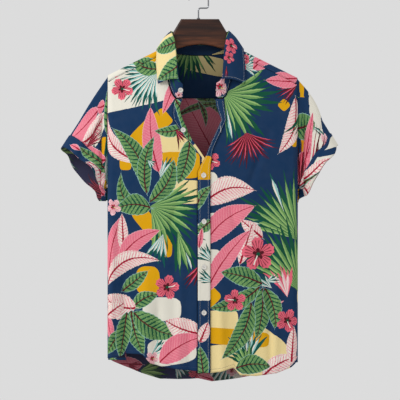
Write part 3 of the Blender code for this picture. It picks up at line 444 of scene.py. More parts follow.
# Rows of the print, lowest first, in millimetres on the flat cloth, across and up, as the fronts hang.
# Motifs: base, tip, then half width of a leaf or angle between a fan's blades, bend, and a fan's seed
# and its spread over pi. Patches of ground: middle, half sizes, turn in degrees and roundness.
PRINT = print_rows("""
teal_palm -91 -183 -182 -240 .155 .05 3.6
palm -105 -482 10 -539 .19 -.1 5.62
teal_palm -78 -543 -100 -618 .2 0 2.3
palm -45 -539 -19 -636 .22 .05 7.25
teal_palm -28 -583 -10 -627 .3 0 7.08
spikes 10 -605 -28 -671 .28 0 4.2
teal_palm -107 -812 -63 -772 .3 0 6.25
-85 -420 -63 -363 .25 0 8.3
spikes -160 -838 -146 -799 .25 0 8.5
palm 56 -235 173 -301 .185 .06 2.62
teal_palm 61 -266 78 -354 .2 .05 4.12
100 -178 140 -161 .3 0 3.6
spikes 105 -321 118 -405 .2 0 6.66
223 -213 162 -231 .24 0 3.4
palm 223 -557 113 -425 .135 .05 8.36
230 -671 140 -517 .12 .04 5.34
teal_palm 188 -495 140 -370 .2 0 2.04
102 -517 153 -526 .3 0 1.1
162 -662 127 -636 .3 0 5.2
bird 195 -682 179 -605 .24 .1 4.24
188 -689 162 -702 .3 0 2.1
teal_palm 109 -825 100 -746 .24 0 9.42
palm 109 -834 82 -777 .24 0 11.4
white_leaf -120 -385 -212 -277 18.7 .2
pink_leaf -87 -407 -105 -266 20.9 .05
-45 -196 -78 -279 12.1 0
green_leaf -113 -451 -188 -312 20.9 -.12
-113 -455 -98 -330 16.5 .1
-19 -337 -45 -433 19.8 .05
-28 -306 -96 -317 13.2 .1
spikes -50 -315 -19 -350 .3 0 2.3
green_leaf -107 -473 -54 -381 19.8 -.12
-105 -486 -170 -409 16.5 .3
-105 -486 -179 -488 24.2 -.12
pink_leaf -199 -645 -168 -504 20.9 .05
white_leaf -164 -583 -168 -499 12.1 0
pink_leaf -175 -605 -85 -535 19.8 .12
white_leaf -204 -653 -87 -601 20.9 .22
green_leaf -168 -669 -111 -625 15.4 0
-144 -706 -89 -675 16.5 .1
pink_leaf -208 -719 -190 -779 13.2 0
white_leaf -138 -706 -210 -680 28.6 .12
-208 -724 -164 -695 17.6 0
green_leaf -168 -755 -208 -807 16.5 0
-148 -711 -120 -807 19.8 -.05
-142 -715 -47 -766 26.4 -.1
-157 -715 -173 -814 17.6 0
white_leaf 8 -763 -72 -733 26.4 .06
pink_leaf -85 -825 12 -768 27.5 .08
white_leaf 217 -244 177 -365 20.9 .12
pink_leaf 226 -209 148 -205 15.4 0
white_leaf 14 -475 122 -447 28.6 .16
pink_leaf 14 -563 122 -482 27.5 .1
white_leaf 140 -552 94 -513 15.4 0
91 -609 118 -521 14.3 0
pink_leaf 16 -671 113 -535 20.9 .05
green_leaf 140 -662 127 -772 19.8 .05
144 -662 168 -750 18.7 .1
135 -658 25 -706 18.7 .1
116 -693 52 -816 20.9 .1
140 -653 50 -627 22 -.05
white_leaf 140 -856 221 -812 19.8 .08
204 -825 210 -746 14.3 0
green_leaf 82 -838 157 -834 22 .1
teal_palm 148 -649 179 -636 .3 0 5.2
-111 -381 -94 -398 .3 0 5.3
hibiscus -168 -224 -144 -233
blossom -188 -484 -170 -491
hibiscus -69 -660 -41 -658
blossom -102 -816 -87 -821
hibiscus 131 -587 111 -620
80 -689 56 -682
195 -733 201 -759
28 -383 47 -392
palm 262 -240 250 -352 .17 -.1 12.3
teal_palm 255 -600 268 -690 .17 .1 14.28
palm 40 -250 -60 -210 .17 .1 15.3
teal_palm 30 -180 -20 -150 .2 .1 16.3
green_leaf 232 -420 262 -500 20 .1
262 -420 244 -340 18 -.1
pink_leaf 236 -560 270 -510 20 .1
white_leaf 236 -620 262 -560 20 0
green_leaf 262 -760 244 -690 18 .1
pink_leaf 244 -840 262 -770 18 0
white_leaf -10 -200 60 -180 20 .1
green_leaf -80 -180 -150 -160 18 .1
pink_leaf 120 -180 180 -150 18 .1
hibiscus 250 -530 262 -520
90 -165 112 -160
-40 -230 -20 -222
cream -151 -213 114 53 12 4
-67 -222 26 22 -10 6
mustard -116 -321 35 20 45 6
-82 -293 20 20 40 6
yellow -50 -343 37 22 0 6
-36 -451 44 26 0 5
mustard -41 -392 44 29 0 6
-160 -385 13 18 0 4
-107 -524 48 18 -50 5
-69 -568 11 26 0 4
-111 -645 26 31 0 3
cream -80 -708 42 26 0 3.5
-58 -799 53 31 10 4
23 -436 20 29 0 3
36 -517 26 20 0 4
30 -612 20 35 0 4
mustard 25 -680 20 20 45 4
yellow 52 -737 35 26 0 6
140 -788 53 35 -35 4
102 -825 99 40 0 4
mustard 80 -770 75 18 -5 5
188 -260 11 11 45 4
212 -337 7 15 0 4
19 -420 7 31 0 6
cream 250 -300 26 40 10 4
mustard 252 -470 24 20 40 5
yellow 252 -660 26 40 -10 5
cream 10 -220 50 26 5 4
mustard -110 -150 30 20 40 5
""")
# Prints of the pieces that show single motifs, placed as seen from the front
OWN_PRINT = {name: print_rows(text) for name, text in {
    "sleeve_right": """
teal_palm -199 -187 -210 -271 .3 0 3.1
pink_leaf -221 -271 -287 -341 24.2 .05
white_leaf -256 -345 -206 -275 19.8 -.1
pink_leaf -204 -381 -252 -343 15.4 .1
green_leaf -234 -460 -261 -407 17.6 0
pink_leaf -206 -218 -223 -264 11 .05
blossom -278 -381 -263 -385
spikes -248 -354 -206 -301 .14 0 4.25
green_leaf -201 -326 -201 -227 10.1 0
navy -234 -271 88 132 0 4
mustard -204 -350 9 20 0 4
-210 -433 18 18 0 4
cream -223 -315 13 40 -20 4
""",
    "cuff_right": """
white_leaf -215 -451 -300 -352 12.1 -.12
green_leaf -197 -407 -261 -352 14.3 .1
pink_leaf -261 -359 -292 -343 6.6 0
-208 -458 -228 -438 8.8 0
green_leaf -217 -475 -239 -451 11 0
mustard -210 -422 13 20 0 4
navy -243 -407 18 18 0 4
""",
    "sleeve_left": """
teal_palm 243 -240 292 -337 .12 .05 2.05
palm 223 -222 206 -240 .3 0 3.1
green_leaf 210 -315 256 -299 19.8 0
pink_leaf 237 -429 252 -275 12.1 -.05
234 -425 296 -350 15.4 .1
green_leaf 298 -359 285 -332 11 0
blossom 283 -350 296 -359
pink_leaf 237 -222 223 -196 11 0
spikes 237 -447 298 -354 .16 .1 5.3
pink_leaf 230 -363 217 -433 13.2 0
spikes 219 -438 232 -310 .2 0 9.15
mustard 230 -222 11 9 0 4
cream 261 -297 11 40 -25 4
280 -350 18 15 0 4
navy 219 -425 18 22 0 4
228 -262 15 20 0 4
""",
    "cuff_left": """
white_leaf 232 -438 311 -354 14.3 .05
223 -442 294 -376 13.2 0
green_leaf 223 -442 272 -403 3.3 0
cream 280 -381 48 18 45 4
navy 289 -363 18 7 15 4
""",
    "collar_leaf": """
teal_palm -85 -205 -50 -200 .35 0 3.1
spikes 61 -174 58 -205 .25 0 5.12
green_leaf -36 -112 -94 -139 17.6 -.15
-32 -156 -89 -205 22 -.1
91 -218 140 -200 11 0
hibiscus 72 -130 85 -134
67 -156 78 -163
yellow -72 -156 53 48 0 5
navy -72 -209 31 13 0 4
""",
    "collar_stand": """
palm -19 -117 -32 -213 .18 .06 5.36
-6 -125 52 -191 .14 0 2.08
green_leaf -45 -161 -6 -183 11 0
blossom 47 -220 61 -224
green_leaf 34 -257 52 -240 6.6 0
blossom -43 -238 -36 -242
yellow 16 -169 48 20 -12 5
""",
    "placket": """
teal_palm 34 -605 -6 -570 .25 0 4.3
34 -649 -6 -631 .25 0 6.3
-10 -552 16 -543 .3 0 3.3
green_leaf -6 -491 28 -438 13.2 .1
28 -513 -6 -539 13.2 .05
white_leaf 3 -781 21 -737 13.2 0
green_leaf 12 -860 3 -790 15.4 0
pink_leaf 1 -574 8 -530 6.6 0
mustard 10 -398 20 26 0 6
cream 10 -605 20 84 0 8
""",
    "button_band": """
green_leaf -54 -244 -23 -359 13.2 .1
blossom -43 -235 -36 -242
yellow 6 -363 13 22 30 4
""",
    "back": """
pink_leaf 52 -398 -32 -240 57.2 0
green_leaf -50 -284 61 -257 7.7 .1
-1 -249 16 -306 6.6 .1
palm -129 -847 -63 -856 .3 0 5.5
spikes -155 -834 -129 -847 .3 0 4.5
teal_palm -52 -834 -19 -865 .3 0 3.4
pink_leaf 34 -869 -1 -856 8.8 0
blossom 74 -847 87 -851
navy 3 -271 132 40 0 6
-107 -847 132 66 0 6
cream 74 -856 31 26 0 4
""",
}.items()}
# the yoke's lining goes on with the print of the stand above it
OWN_PRINT["yoke_inner"] = [row for row in OWN_PRINT["collar_stand"] if row[0] in ("palm", "yellow")]

# Sewing: lines near an edge of a piece. inset: how far in from that edge; thick: of the cloth there.
PALE_SEAMS = table("""
piece edge inset thick
collar_leaf round 4.5 1.4
collar_stand head 2.2 1.4
placket left 4 1.4
placket right 4 1.4
button_band left 3 0.9
""")
DARK_SEAMS = table("""
piece edge inset thick
front_right foot 7 0.9
front_left foot 7 0.9
placket foot 7 1.4
back foot 7 0.9
yoke head 3 0.9
yoke foot 3 0.9
cuff_right head 3 0.9
cuff_left head 3 0.9
""")


def smooth(share):
    share = np.clip(share, 0, 1)
    return share * share * (3 - 2 * share)


def hump(offset, width):
    return np.exp(-((offset / width) ** 2))


def unit(vectors):
    return vectors / np.maximum(np.linalg.norm(vectors, axis=-1, keepdims=True), 1e-12)


def stacked(*parts):
    """Points from their coordinates."""
    return np.stack(np.broadcast_arrays(*parts), axis=-1)


def running(steps):
    """Length run at each point, from the steps between them."""
    return np.concatenate([[0], np.cumsum(steps)])


def column(table, *names):
    """A table's column in metres, or several side by side."""
    return np.array([[row[name] for name in names] for row in table], float).squeeze() * MM


def refined(values, most):
    """Adds even steps between values, none longer than most."""
    fine = [values[:1]]
    for start, end in zip(values[:-1], values[1:]):
        steps = max(1, math.ceil(abs(end - start) / most))
        fine.append(np.linspace(start, end, steps + 1)[1:])
    return np.concatenate(fine)


def curve_through(points, shares):
    """Points on a Catmull-Rom curve through rows of points, by share of the number of rows."""
    place = np.clip(shares, 0, 1) * (len(points) - 1)
    first = np.minimum(place.astype(int), len(points) - 2)
    t = (place - first)[..., None]
    before, start, end, after = (points[np.clip(first + step, 0, len(points) - 1)] for step in (-1, 0, 1, 2))
    square, cube = 2 * before - 5 * start + 4 * end - after, 3 * start - before - 3 * end + after
    return start + 0.5 * ((end - before) * t + square * t**2 + cube * t**3)


# The body surface


def shoulder_line(x):
    """Height of the cloth's inner face along the shoulders."""
    return NECK_TOP - SHOULDER_SLOPE * np.maximum(np.abs(x - NECK_X) - NECK_HALF, 0)


def drop_of_run(run):
    """Drop below the shoulder line after a run of cloth over it."""
    run, bend = np.abs(run), RIDGE_RADIUS * math.pi / 2
    over = RIDGE_RADIUS * (1 - np.cos(np.minimum(run, bend) / RIDGE_RADIUS))
    return np.where(run < bend, over, RIDGE_RADIUS + run - bend)


def depth_at(face, x, drop):
    full = DEPTH[face] * (1 - BOW * ((x - BODY_X) / HALF_WIDTH) ** 2)
    over = RIDGE_RADIUS * np.sqrt(1 - np.clip(1 - drop / RIDGE_RADIUS, 0, 1) ** 2)
    return over + (full - RIDGE_RADIUS) * smooth((drop - RIDGE_RADIUS) / DEPTH_RUN)


def fold_height(face, x, z):
    """What the soft folds add to the body's depth."""
    total = 0
    for fold in FOLDS:
        if fold["face"] == face:
            below = fold["top"] - z / MM
            fade = smooth(below / FOLD_FADE) * smooth((z / MM - fold["end"]) / FOLD_FADE + 1)
            shape = hump(x / MM - fold["x"] - fold["slant"] * below, fold["width"])
            total = total + fold["height"] * MM * shape * fade
    return total


def path_end(z):
    """Length across a panel from its centre to its side: the armhole above, the side seam below."""
    share = smooth((UNDERARM_Z + UNDERARM_BEND - z) / UNDERARM_BEND)
    return FLAT_HALF + ROLL_PATH + TUCK_PATH * share - SEAM


def rolled(path):
    """Place across by path from the body's middle, and share of the depth left in the side's roll."""
    far = np.abs(path)
    roll = np.clip((far - FLAT_HALF) / ROLL_PATH, 0, 1) * math.pi / 2
    x = BODY_X + np.sign(path) * (np.minimum(far, FLAT_HALF) + SIDE_ROLL * np.sin(roll))
    return x, 1 - (1 - TUCK_SHARE) * (1 - np.cos(roll))


def body_point(face, path, second):
    """A point by its path across, and its height or, on the face over, its run past the shoulder line."""
    x, keep = rolled(path)
    if face == "over":
        drop = drop_of_run(second)
        depth = np.where(second > 0, -depth_at("front", x, drop), depth_at("back", x, drop)) * keep
        return stacked(x, depth, shoulder_line(x) - drop)
    tuck = np.clip((np.abs(path) - FLAT_HALF - ROLL_PATH) / TUCK_PATH, 0, 1)
    below = smooth((UNDERARM_Z - second) / TUCK_RUN)
    inward = TUCK * (TUCK_ABOVE + (1 - TUCK_ABOVE) * below) * (1 - (1 - tuck) ** 2) ** 2
    drop = np.maximum(shoulder_line(x) - second, 0)
    folds = fold_height(face, x, second) * smooth((drop - RIDGE_RADIUS) / DEPTH_RUN)
    depth = (depth_at(face, x, drop) + folds) * keep * (1 - tuck)
    return stacked(x - np.sign(path) * inward, depth * (-1 if face == "front" else 1), second)


def lifted(face, path, second, lift=0.0):
    """Points of the body, moved out of it by a lift."""
    step = 0.2 * MM
    across = body_point(face, path + step, second) - body_point(face, path - step, second)
    down = body_point(face, path, second + step) - body_point(face, path, second - step)
    outward = lift if face == "front" else -lift
    return body_point(face, path, second) + outward * unit(np.cross(across, down))


def grid_normals(points, core, closed=False):
    """Normals of a grid of points, away from a core."""
    across = np.gradient(points, axis=1)
    if closed:
        ring = np.concatenate([points[:, -2:-1], points, points[:, 1:2]], axis=1)
        across = ring[:, 2:] - ring[:, :-2]
    normal = unit(np.cross(across, np.gradient(points, axis=0)))
    return normal * (1 if np.sum(normal * (points - core)) > 0 else -1)


def neck_curve(shares):
    """The neck seam as points of (path, run)."""
    return curve_through(column(COLLAR, "across", "run") + (NECK_X - BODY_X, 0), shares)


def cut_edge(shares):
    """The panels' edge along the neck seam, clear of the stand: points of (path, run)."""
    seam = neck_curve(shares)
    away = unit(seam - (NECK_X - BODY_X, NECK_CENTRE_RUN))
    front = smooth(seam[:, 1:] / NECK_FADE + 1)
    return seam + away * (NECK_CLEAR_BACK + (NECK_CLEAR - NECK_CLEAR_BACK) * front)


def neck_edge(side):
    """The front part of the neck edge on one side, from the yoke down: across and height."""
    shares = np.linspace(YOKE_STATION, 1, 13) / LAST
    points = body_point("over", *cut_edge(shares if side < 0 else 1 - shares).T)
    return points[:, 0], points[:, 2]


def inner_edge(side, z):
    """Place across of a front's inner edge at a height."""
    keys, band, placket = column(OPENING, "z", "band_0", "placket_1").T
    neck_x, neck_z = neck_edge(side)
    keep = neck_z > keys[0] + 3 * MM
    edge = band - SEAM * 1.5 if side < 0 else placket - PLACKET_OVERLAP
    return np.interp(-z, -np.append(neck_z[keep], keys), np.append(neck_x[keep], edge))


def hem_at(table, x):
    return np.interp(x, *column(table, "x", "z").T)


def front_heights(side):
    """Heights of a front's rows at its inner edge: neck, opening, then evenly down to the hem."""
    opening = column(OPENING, "z")[:-1]
    neck = np.linspace(neck_edge(side)[1][0], opening[0], NECK_ROWS, endpoint=False)
    hem = hem_at(FRONT_HEM, inner_edge(side, opening[-1]))
    return np.concatenate([neck, opening, np.linspace(opening[-1], hem, LOWER_ROWS + 1)[1:]])


def clear_of_body(points, clearance):
    """Moves points that lie on or in the body out to the given clearance from it."""
    x, y, z = points.T
    need = WALL + clearance
    drop = shoulder_line(x) - z
    centre = stacked(0, shoulder_line(x) - RIDGE_RADIUS)
    off = points[:, 1:] - centre
    length = np.maximum(np.linalg.norm(off, axis=1, keepdims=True), 1e-9)
    over = centre + off * np.maximum((RIDGE_RADIUS + need) / length, 1)
    least = np.where(y < 0, depth_at("front", x, drop), depth_at("back", x, drop)) + need
    side = stacked(np.copysign(np.maximum(np.abs(y), least), y), z)
    return np.column_stack([x, np.where((drop < RIDGE_RADIUS)[:, None], over, side)])


def stand_points(shares, steps):
    """The stand's inner side, from the neck seam up to the collar's fold."""
    low = body_point("over", *neck_curve(shares).T)
    fold = curve_through(column(COLLAR, "fold_x", "fold_y", "fold_z") + (NECK_X, 0, 0), shares)
    front = smooth(1.5 - low[:, 1:2] / STAND_FADE)
    low = low + unit(fold - low) * (STAND_LIFT_BACK + (STAND_LIFT - STAND_LIFT_BACK) * front)
    return np.array([low + (fold - low) * step for step in steps])


def armhole(side, shares):
    """The armhole's edge by share round it: 0 at the shoulder, over the front, 0.5 at the underarm."""
    shares = shares % 1.0
    top = shoulder_line(BODY_X + side * HALF_WIDTH)
    z = top - (top - UNDERARM_Z) * np.sin((1 - np.abs(1 - 2 * shares)) * math.pi / 2) ** ARMHOLE_FULLNESS
    path = side * path_end(z)
    return np.where((shares <= 0.5)[:, None], body_point("front", path, z), body_point("back", path, z))


def low_share(around):
    """Share of the way from a sleeve's top, 0, to its underarm, 1, on either side."""
    return 1 - np.abs(1 - 2 * (around % 1.0))


def sleeve_start(data, around):
    """The sleeve's edge along the armhole, a gap inside it."""
    side = data["side"]
    start = armhole(side, around)
    edge = armhole(side, around + EDGE_STEP) - armhole(side, around - EDGE_STEP)
    inset = LAYER + UNDERARM_CLEAR * smooth((low_share(around) - GAP_START) / GAP_OVER)
    shift = unit(stacked(0, -edge[:, 2], edge[:, 1])) * inset[:, None]
    most = SHIFT_SHARE * np.abs(start[:, 1])
    shift[:, 1] = np.clip(shift[:, 1], -most, most)
    start = start + shift
    reach = np.maximum(side * (start[:, 0] - BODY_X), HALF_WIDTH - UNDERARM_REACH)
    start[:, 0] = BODY_X + side * (reach - SLEEVE_INSET)
    return start


def sleeve_end(data, around):
    """The rim of the sleeve's open end, an uneven ring pressed flat towards the underarm."""
    side, angle = data["side"], around * 2 * math.pi
    top, low = (np.array([data[end + "_x"], 0, data[end + "_z"]]) * MM for end in ("top", "low"))
    half = (top - low) / 2
    end = (top + low) / 2 + np.cos(angle)[:, None] * half
    pinch = 1 - SLEEVE_PINCH * smooth((low_share(around) - PINCH_START) / PINCH_OVER)
    end[:, 1] = -np.sin(angle) * data["depth"] * MM * pinch
    out = np.where(np.sin(angle) > 0, data["front"], data["back"]) * np.abs(np.sin(angle))
    for wave in END_WAVES:
        out = out + wave["size"] * np.sin(2 * math.pi * (wave["turns"] * around + side * wave["start"]))
    return end + unit(np.array([half[2], 0, -half[0]]) * side) * (out * MM)[:, None]


def sleeve_point(name, around, down):
    """Points on a sleeve's inner face, by share round it and share from armhole to end."""
    data, down, place = SLEEVES[name], around * 0 + down, around % 1.0
    start, end = sleeve_start(data, around), sleeve_end(data, around)
    way = start + (end - start) * down[:, None]
    way[:, 1] = start[:, 1] + (end - start)[:, 1] * np.clip(down, 0, None) ** SLEEVE_FLARE
    cap = np.sin(math.pi * np.clip(down / CAP_SHARE, 0, 1)) * np.clip(np.cos(around * 2 * math.pi), 0, 1) ** 2
    way[:, 0] += data["side"] * cap * data["cap"] * MM
    away = down * np.linalg.norm(end - start, axis=1) / MM
    height = sum(row["height"] * hump(away - row["away"], row["width"]) for row in SLEEVE_TUCKS)
    low = low_share(around)
    height = height * smooth((low - TUCKS_START) / TUCKS_OVER) * smooth((TUCKS_END - low) / TUCKS_OVER)
    for fold in SLEEVE_FOLDS:
        fade = smooth((down - fold["from"]) / fold["over"]) * smooth((fold["to"] - down) / 0.25 + 0.6)
        shape = hump(place - fold["share"] - fold["slant"] * down, fold["width"])
        height = height + shape * fade * fold["height"]
    way[:, 1] += np.where(place < 0.5, -1, 1) * height * MM
    return way


# Grids of points through the middle of each piece, with their places on the flat cloth


def side_paths(inner, outer_z, side):
    """Paths of rows' points from their inner edges to their side."""
    edge = side * FLAT_HALF
    flat = inner + (edge - inner) * np.linspace(0, 1, FRONT_COLUMNS, endpoint=False)
    return np.hstack([flat, edge + (side * path_end(outer_z) - edge) * np.linspace(0, 1, SIDE_COLUMNS + 1)])


def front_grid(side):
    z_in = refined(front_heights(side), STEP)[:, None]
    first, last = z_in[0], z_in[-1]
    share = (z_in - first) / (last - first)

    def top_at(x):
        return shoulder_line(x) - drop_of_run(FRONT_SEAM_RUN)

    side_x = BODY_X + side * HALF_WIDTH
    top_out, low_out = top_at(side_x), hem_at(FRONT_HEM, side_x)
    start = inner_edge(side, z_in) - BODY_X
    path = side_paths(start, top_out + (low_out - top_out) * share, side)
    way = np.clip((path - start) / (side * FLAT_HALF - start), 0, 1)
    x = BODY_X + np.clip(path, -HALF_WIDTH, HALF_WIDTH)
    top, low = first + (top_out - first) * way, last + (low_out - last) * way
    z = top + (low - top) * share - SEAM * (1 - share)
    z = z + (top_at(x) - top) * smooth(1 - share / SEAM_BEND) + (hem_at(FRONT_HEM, x) - low) * smooth(
        1 - (1 - share) / HEM_BEND
    )
    return lifted("front", path, z, WALL / 2), stacked(BODY_X + path, z)


def back_grid():
    share = np.linspace(0, 1, BACK_ROWS)[:, None]
    ends = ((side, hem_at(BACK_HEM, BODY_X + side * HALF_WIDTH)) for side in (-1, 1))
    left, right = (
        side_paths(share * 0, YOKE_SEAM_Z + (low - YOKE_SEAM_Z) * share, side) for side, low in ends
    )
    path = np.hstack([left[:, ::-1], right[:, 1:]])
    hem = hem_at(BACK_HEM, BODY_X + np.clip(path, -HALF_WIDTH, HALF_WIDTH))
    z = YOKE_SEAM_Z - SEAM + (hem - YOKE_SEAM_Z) * share
    return lifted("back", path, z, WALL / 2), stacked(BODY_X + path, z)


def yoke_grid(lift, inset):
    """The yoke, from the seam across the back up and over both shoulders, less inset columns."""
    edge = FLAT_HALF + ROLL_PATH - SEAM
    ends = YOKE_STATION, LAST - YOKE_STATION
    arm = np.linspace(0, 1, YOKE_ARM_COLUMNS)[:, None]
    left, right = (
        corner + (np.array([side * edge, FRONT_SEAM_RUN]) - corner) * arm
        for side, corner in zip((-1, 1), cut_edge(np.array(ends) / LAST))
    )
    top = np.concatenate([left[::-1], cut_edge(np.linspace(*ends, NECK_COLUMNS + 2)[1:-1] / LAST), right])
    arm = np.linspace(edge, YOKE_NECK_HALF, YOKE_ARM_COLUMNS, endpoint=False)
    low_path = np.concatenate([-arm, np.linspace(-YOKE_NECK_HALF, YOKE_NECK_HALF, NECK_COLUMNS), arm[::-1]])
    x = BODY_X + np.clip(low_path, -HALF_WIDTH, HALF_WIDTH)
    low_run = YOKE_SEAM_Z - shoulder_line(x) - RIDGE_RADIUS * (math.pi / 2 - 1)
    rows = refined(YOKE_ROWS, YOKE_STEP)[:, None]
    share = (rows - rows[0]) / (rows[-1] - rows[0])
    path, run = low_path + (top[:, 0] - low_path) * share, low_run + (top[:, 1] - low_run) * share
    kept = slice(inset, len(top) - inset)
    fabric = stacked(BODY_X + path, shoulder_line(BODY_X + path) - run)
    return lifted("over", path, run, lift + WALL / 2)[:, kept], fabric[:, kept]


def strip_grid(part, side, lift, thick):
    """A strip down the front, between its two edges in OPENING."""
    keys, first, second = column(OPENING, "z", part + "_0", part + "_1").T
    heights = front_heights(side)
    heights = refined(np.append(STRIP_TOP, heights[heights < STRIP_TOP - MM]), STEP)
    edges = (np.interp(-heights, -keys, edge) for edge in (first, second))
    x, z = np.broadcast_arrays(np.linspace(*edges, STRIP_COLUMNS, axis=1), heights[:, None])
    return lifted("front", x - BODY_X, z, lift + thick / 2), stacked(x, z)


def with_lengths(points):
    """A collar's grid moved to its cloth's middle; its typical length across and its own length down."""
    across = running(np.linalg.norm(np.diff(points, axis=1), axis=2).mean(axis=0))
    down = np.linalg.norm(np.diff(points, axis=0), axis=2)
    down = np.concatenate([np.zeros((1, points.shape[1])), np.cumsum(down, axis=0)])
    return points + grid_normals(points, CORE) * WALL / 2, stacked(across[None, :], -down)


def stand_grid():
    return with_lengths(stand_points(np.linspace(0, 1, STAND_COLUMNS), np.linspace(0, 1, STAND_ROWS)))


def leaf_grid():
    """The leaf: from the fold, a gap outside the stand, down over the shoulders."""
    parts = [(LEAF_START, 4, 24), (4, 7, 44), (7, LAST / 2, 8)]  # denser over the shoulder
    first = np.concatenate([np.linspace(*part, endpoint=False) for part in parts])
    shares = np.concatenate([first, [LAST / 2], LAST - first[::-1]]) / LAST
    stand = stand_points(shares, (0, 0.5, 1))
    fold = (stand + grid_normals(stand, CORE) * LAYER)[-1]
    x, z = (curve_through(column(COLLAR, "edge_x", "edge_z"), shares) + (NECK_X, 0)).T
    behind = (shares > 5 / LAST) & (shares < 1 - 5 / LAST)
    drop = np.maximum(shoulder_line(x) - z, 0)
    depth = np.where(behind, depth_at("back", x, drop), -depth_at("front", x, drop))
    edge = clear_of_body(stacked(x, depth, z), LEAF_CLEAR)
    out = stacked(0, np.where(behind, 1, -1), 1) * LEAF_ARCH
    return with_lengths(np.array([
        clear_of_body(fold + (edge - fold) * share + out * math.sin(math.pi * share), LEAF_CLEAR)
        for share in np.linspace(0, 1, LEAF_ROWS)
    ]))


def sleeve_grid(part, name):
    """A ring of cloth round a sleeve, or round its end where it is folded up, clear of the body's side."""
    shares, side = np.linspace(0, 1, SLEEVE_AROUND + 1), SLEEVES[name]["side"]
    starts, ends = sleeve_point(name, shares, 0), sleeve_point(name, shares, 1)
    length = np.linalg.norm(ends - starts, axis=1)
    out = side * (ends[:, 0] - BODY_X) - HALF_WIDTH - CUFF_CLEAR
    cuff = np.minimum(CUFF_HEIGHT / length, out / np.abs(ends[:, 0] - starts[:, 0]))
    cuff = np.clip(1 - cuff, *CUFF_SHARES)
    rows = [cuff + (1 - cuff) * share for share in np.linspace(0, 1, CUFF_ROWS)]
    if part == "sleeve":
        rows = [cuff * share for share in np.linspace(0, 1, SLEEVE_ROWS, endpoint=False)] + rows
    points, fabric, step = [], [], 0.01
    for down in rows:
        across = sleeve_point(name, shares + step, down) - sleeve_point(name, shares - step, down)
        along = sleeve_point(name, shares, down + step) - sleeve_point(name, shares, down - step)
        lift = side * (WALL / 2 + (LAYER if part == "cuff" else 0))
        points.append(sleeve_point(name, shares, down) + unit(np.cross(across, along)) * lift)
        around = SLEEVE_TOP_ROUND + (SLEEVE_END_ROUND - SLEEVE_TOP_ROUND) * down
        fabric.append(stacked((shares - 0.25) * around, (rows[0] - down) * length))
    points = np.array(points)
    points[:, -1] = points[:, 0]
    return points, np.array(fabric)


GRIDS = {
    "front_right": (front_grid, -1), "front_left": (front_grid, 1), "back": (back_grid,),
    "yoke": (yoke_grid, 0, 0), "yoke_inner": (yoke_grid, -LAYER, 1),
    "button_band": (strip_grid, "band", -1, 0, WALL),
    "placket": (strip_grid, "placket", 1, LAYER, PLACKET_WALL),
    "collar_stand": (stand_grid,), "collar_leaf": (leaf_grid,),
}


@cache
def grid_of(piece):
    """A piece's grid of points, their places on the flat cloth and their normals outwards."""
    make, *settings = GRIDS.get(piece) or (sleeve_grid, *piece.split("_"))
    points, fabric = make(*settings)
    row = PIECES[piece]
    core = points.reshape(-1, 3).mean(axis=0) if row["closed"] else CORE
    return points, fabric, grid_normals(points, core, row["closed"])


# The print: which motifs and patches reach each face, and where it lies on them


def seen_places(points, fabric, seen, places):
    """Turns places seen from the front, across and up, into places on the flat cloth."""
    known, cloth, result = points[seen][:, [0, 2]], fabric[seen], []
    for place in places:
        near = np.argsort(np.sum((known - place) ** 2, axis=1))[:NEAREST]
        rows = np.column_stack([known[near] - place, np.ones(len(near))])
        result.append(np.linalg.lstsq(rows, cloth[near], rcond=None)[0][2])
    return np.array(result)


def seen_part(piece, points):
    """Which points of a piece with a print of its own show from the front."""
    y = points[..., 1]
    if piece == "yoke_inner":
        return y > 0
    return y < 0 if piece == "collar_leaf" or PIECES[piece]["closed"] else np.full(y.shape, piece != "back")


def drawn(rows, convert, tile):
    """Each motif's and patch's base, turn to its own axes and numbers, on the flat cloth."""
    items = []
    for name, *numbers in rows:
        if name in KINDS:
            code = kind = KINDS.index(name) + 1
            base, tip = convert(np.reshape(numbers[:4], (2, 2)) * MM)
            first = tip - base
            second, length, middle = np.array([-first[1], first[0]]), np.linalg.norm(first), base + first / 2
            width, bend, extra = (numbers[4:] + [0, 0, 0])[:3]
            extra = extra or MOTIFS[kind - 1]["veins"]
            if kind < AFTER_LEAVES:
                width *= MM / length
        else:
            *place, half_x, half_y, turn, power = numbers
            cosine, sine = math.cos(math.radians(turn)), math.sin(math.radians(turn))
            corners = np.array([(0, 0), (cosine * half_x, sine * half_x), (-sine * half_y, cosine * half_y)])
            base, end, side = convert((corners + place) * MM)
            middle, first, second = base, end - base, side - base
            length = max(np.linalg.norm(first), np.linalg.norm(second))
            kind, code, width, bend, extra = 0, TONES.index(name) + 1 + power / 10, 0, 0, 0
        inverse = np.linalg.inv(np.stack([first, second], axis=-1))
        items.append((base, middle, inverse, kind, code, length, width, bend, extra, tile))
    keys = "base middle inverse kind code length width bend extra tile".split()
    return {key: np.array(values, float) for key, values in zip(keys, zip(*items))}


def local_of(items, pick, offset):
    """Places relative to motifs, in lengths of the motif, straightened along its bend."""
    x, y = np.moveaxis(np.einsum("...ij,...j->...i", items["inverse"][pick], offset), -1, 0)
    bend, leafy = items["bend"][pick], items["kind"][pick] < AFTER_LEAVES
    turn = -bend * (x * x + y * y)
    cosine, sine = np.cos(turn), np.sin(turn)
    straight = y - bend * 4 * x * (1 - x)
    return np.where(leafy, x, x * cosine - y * sine), np.where(leafy, straight, x * sine + y * cosine)


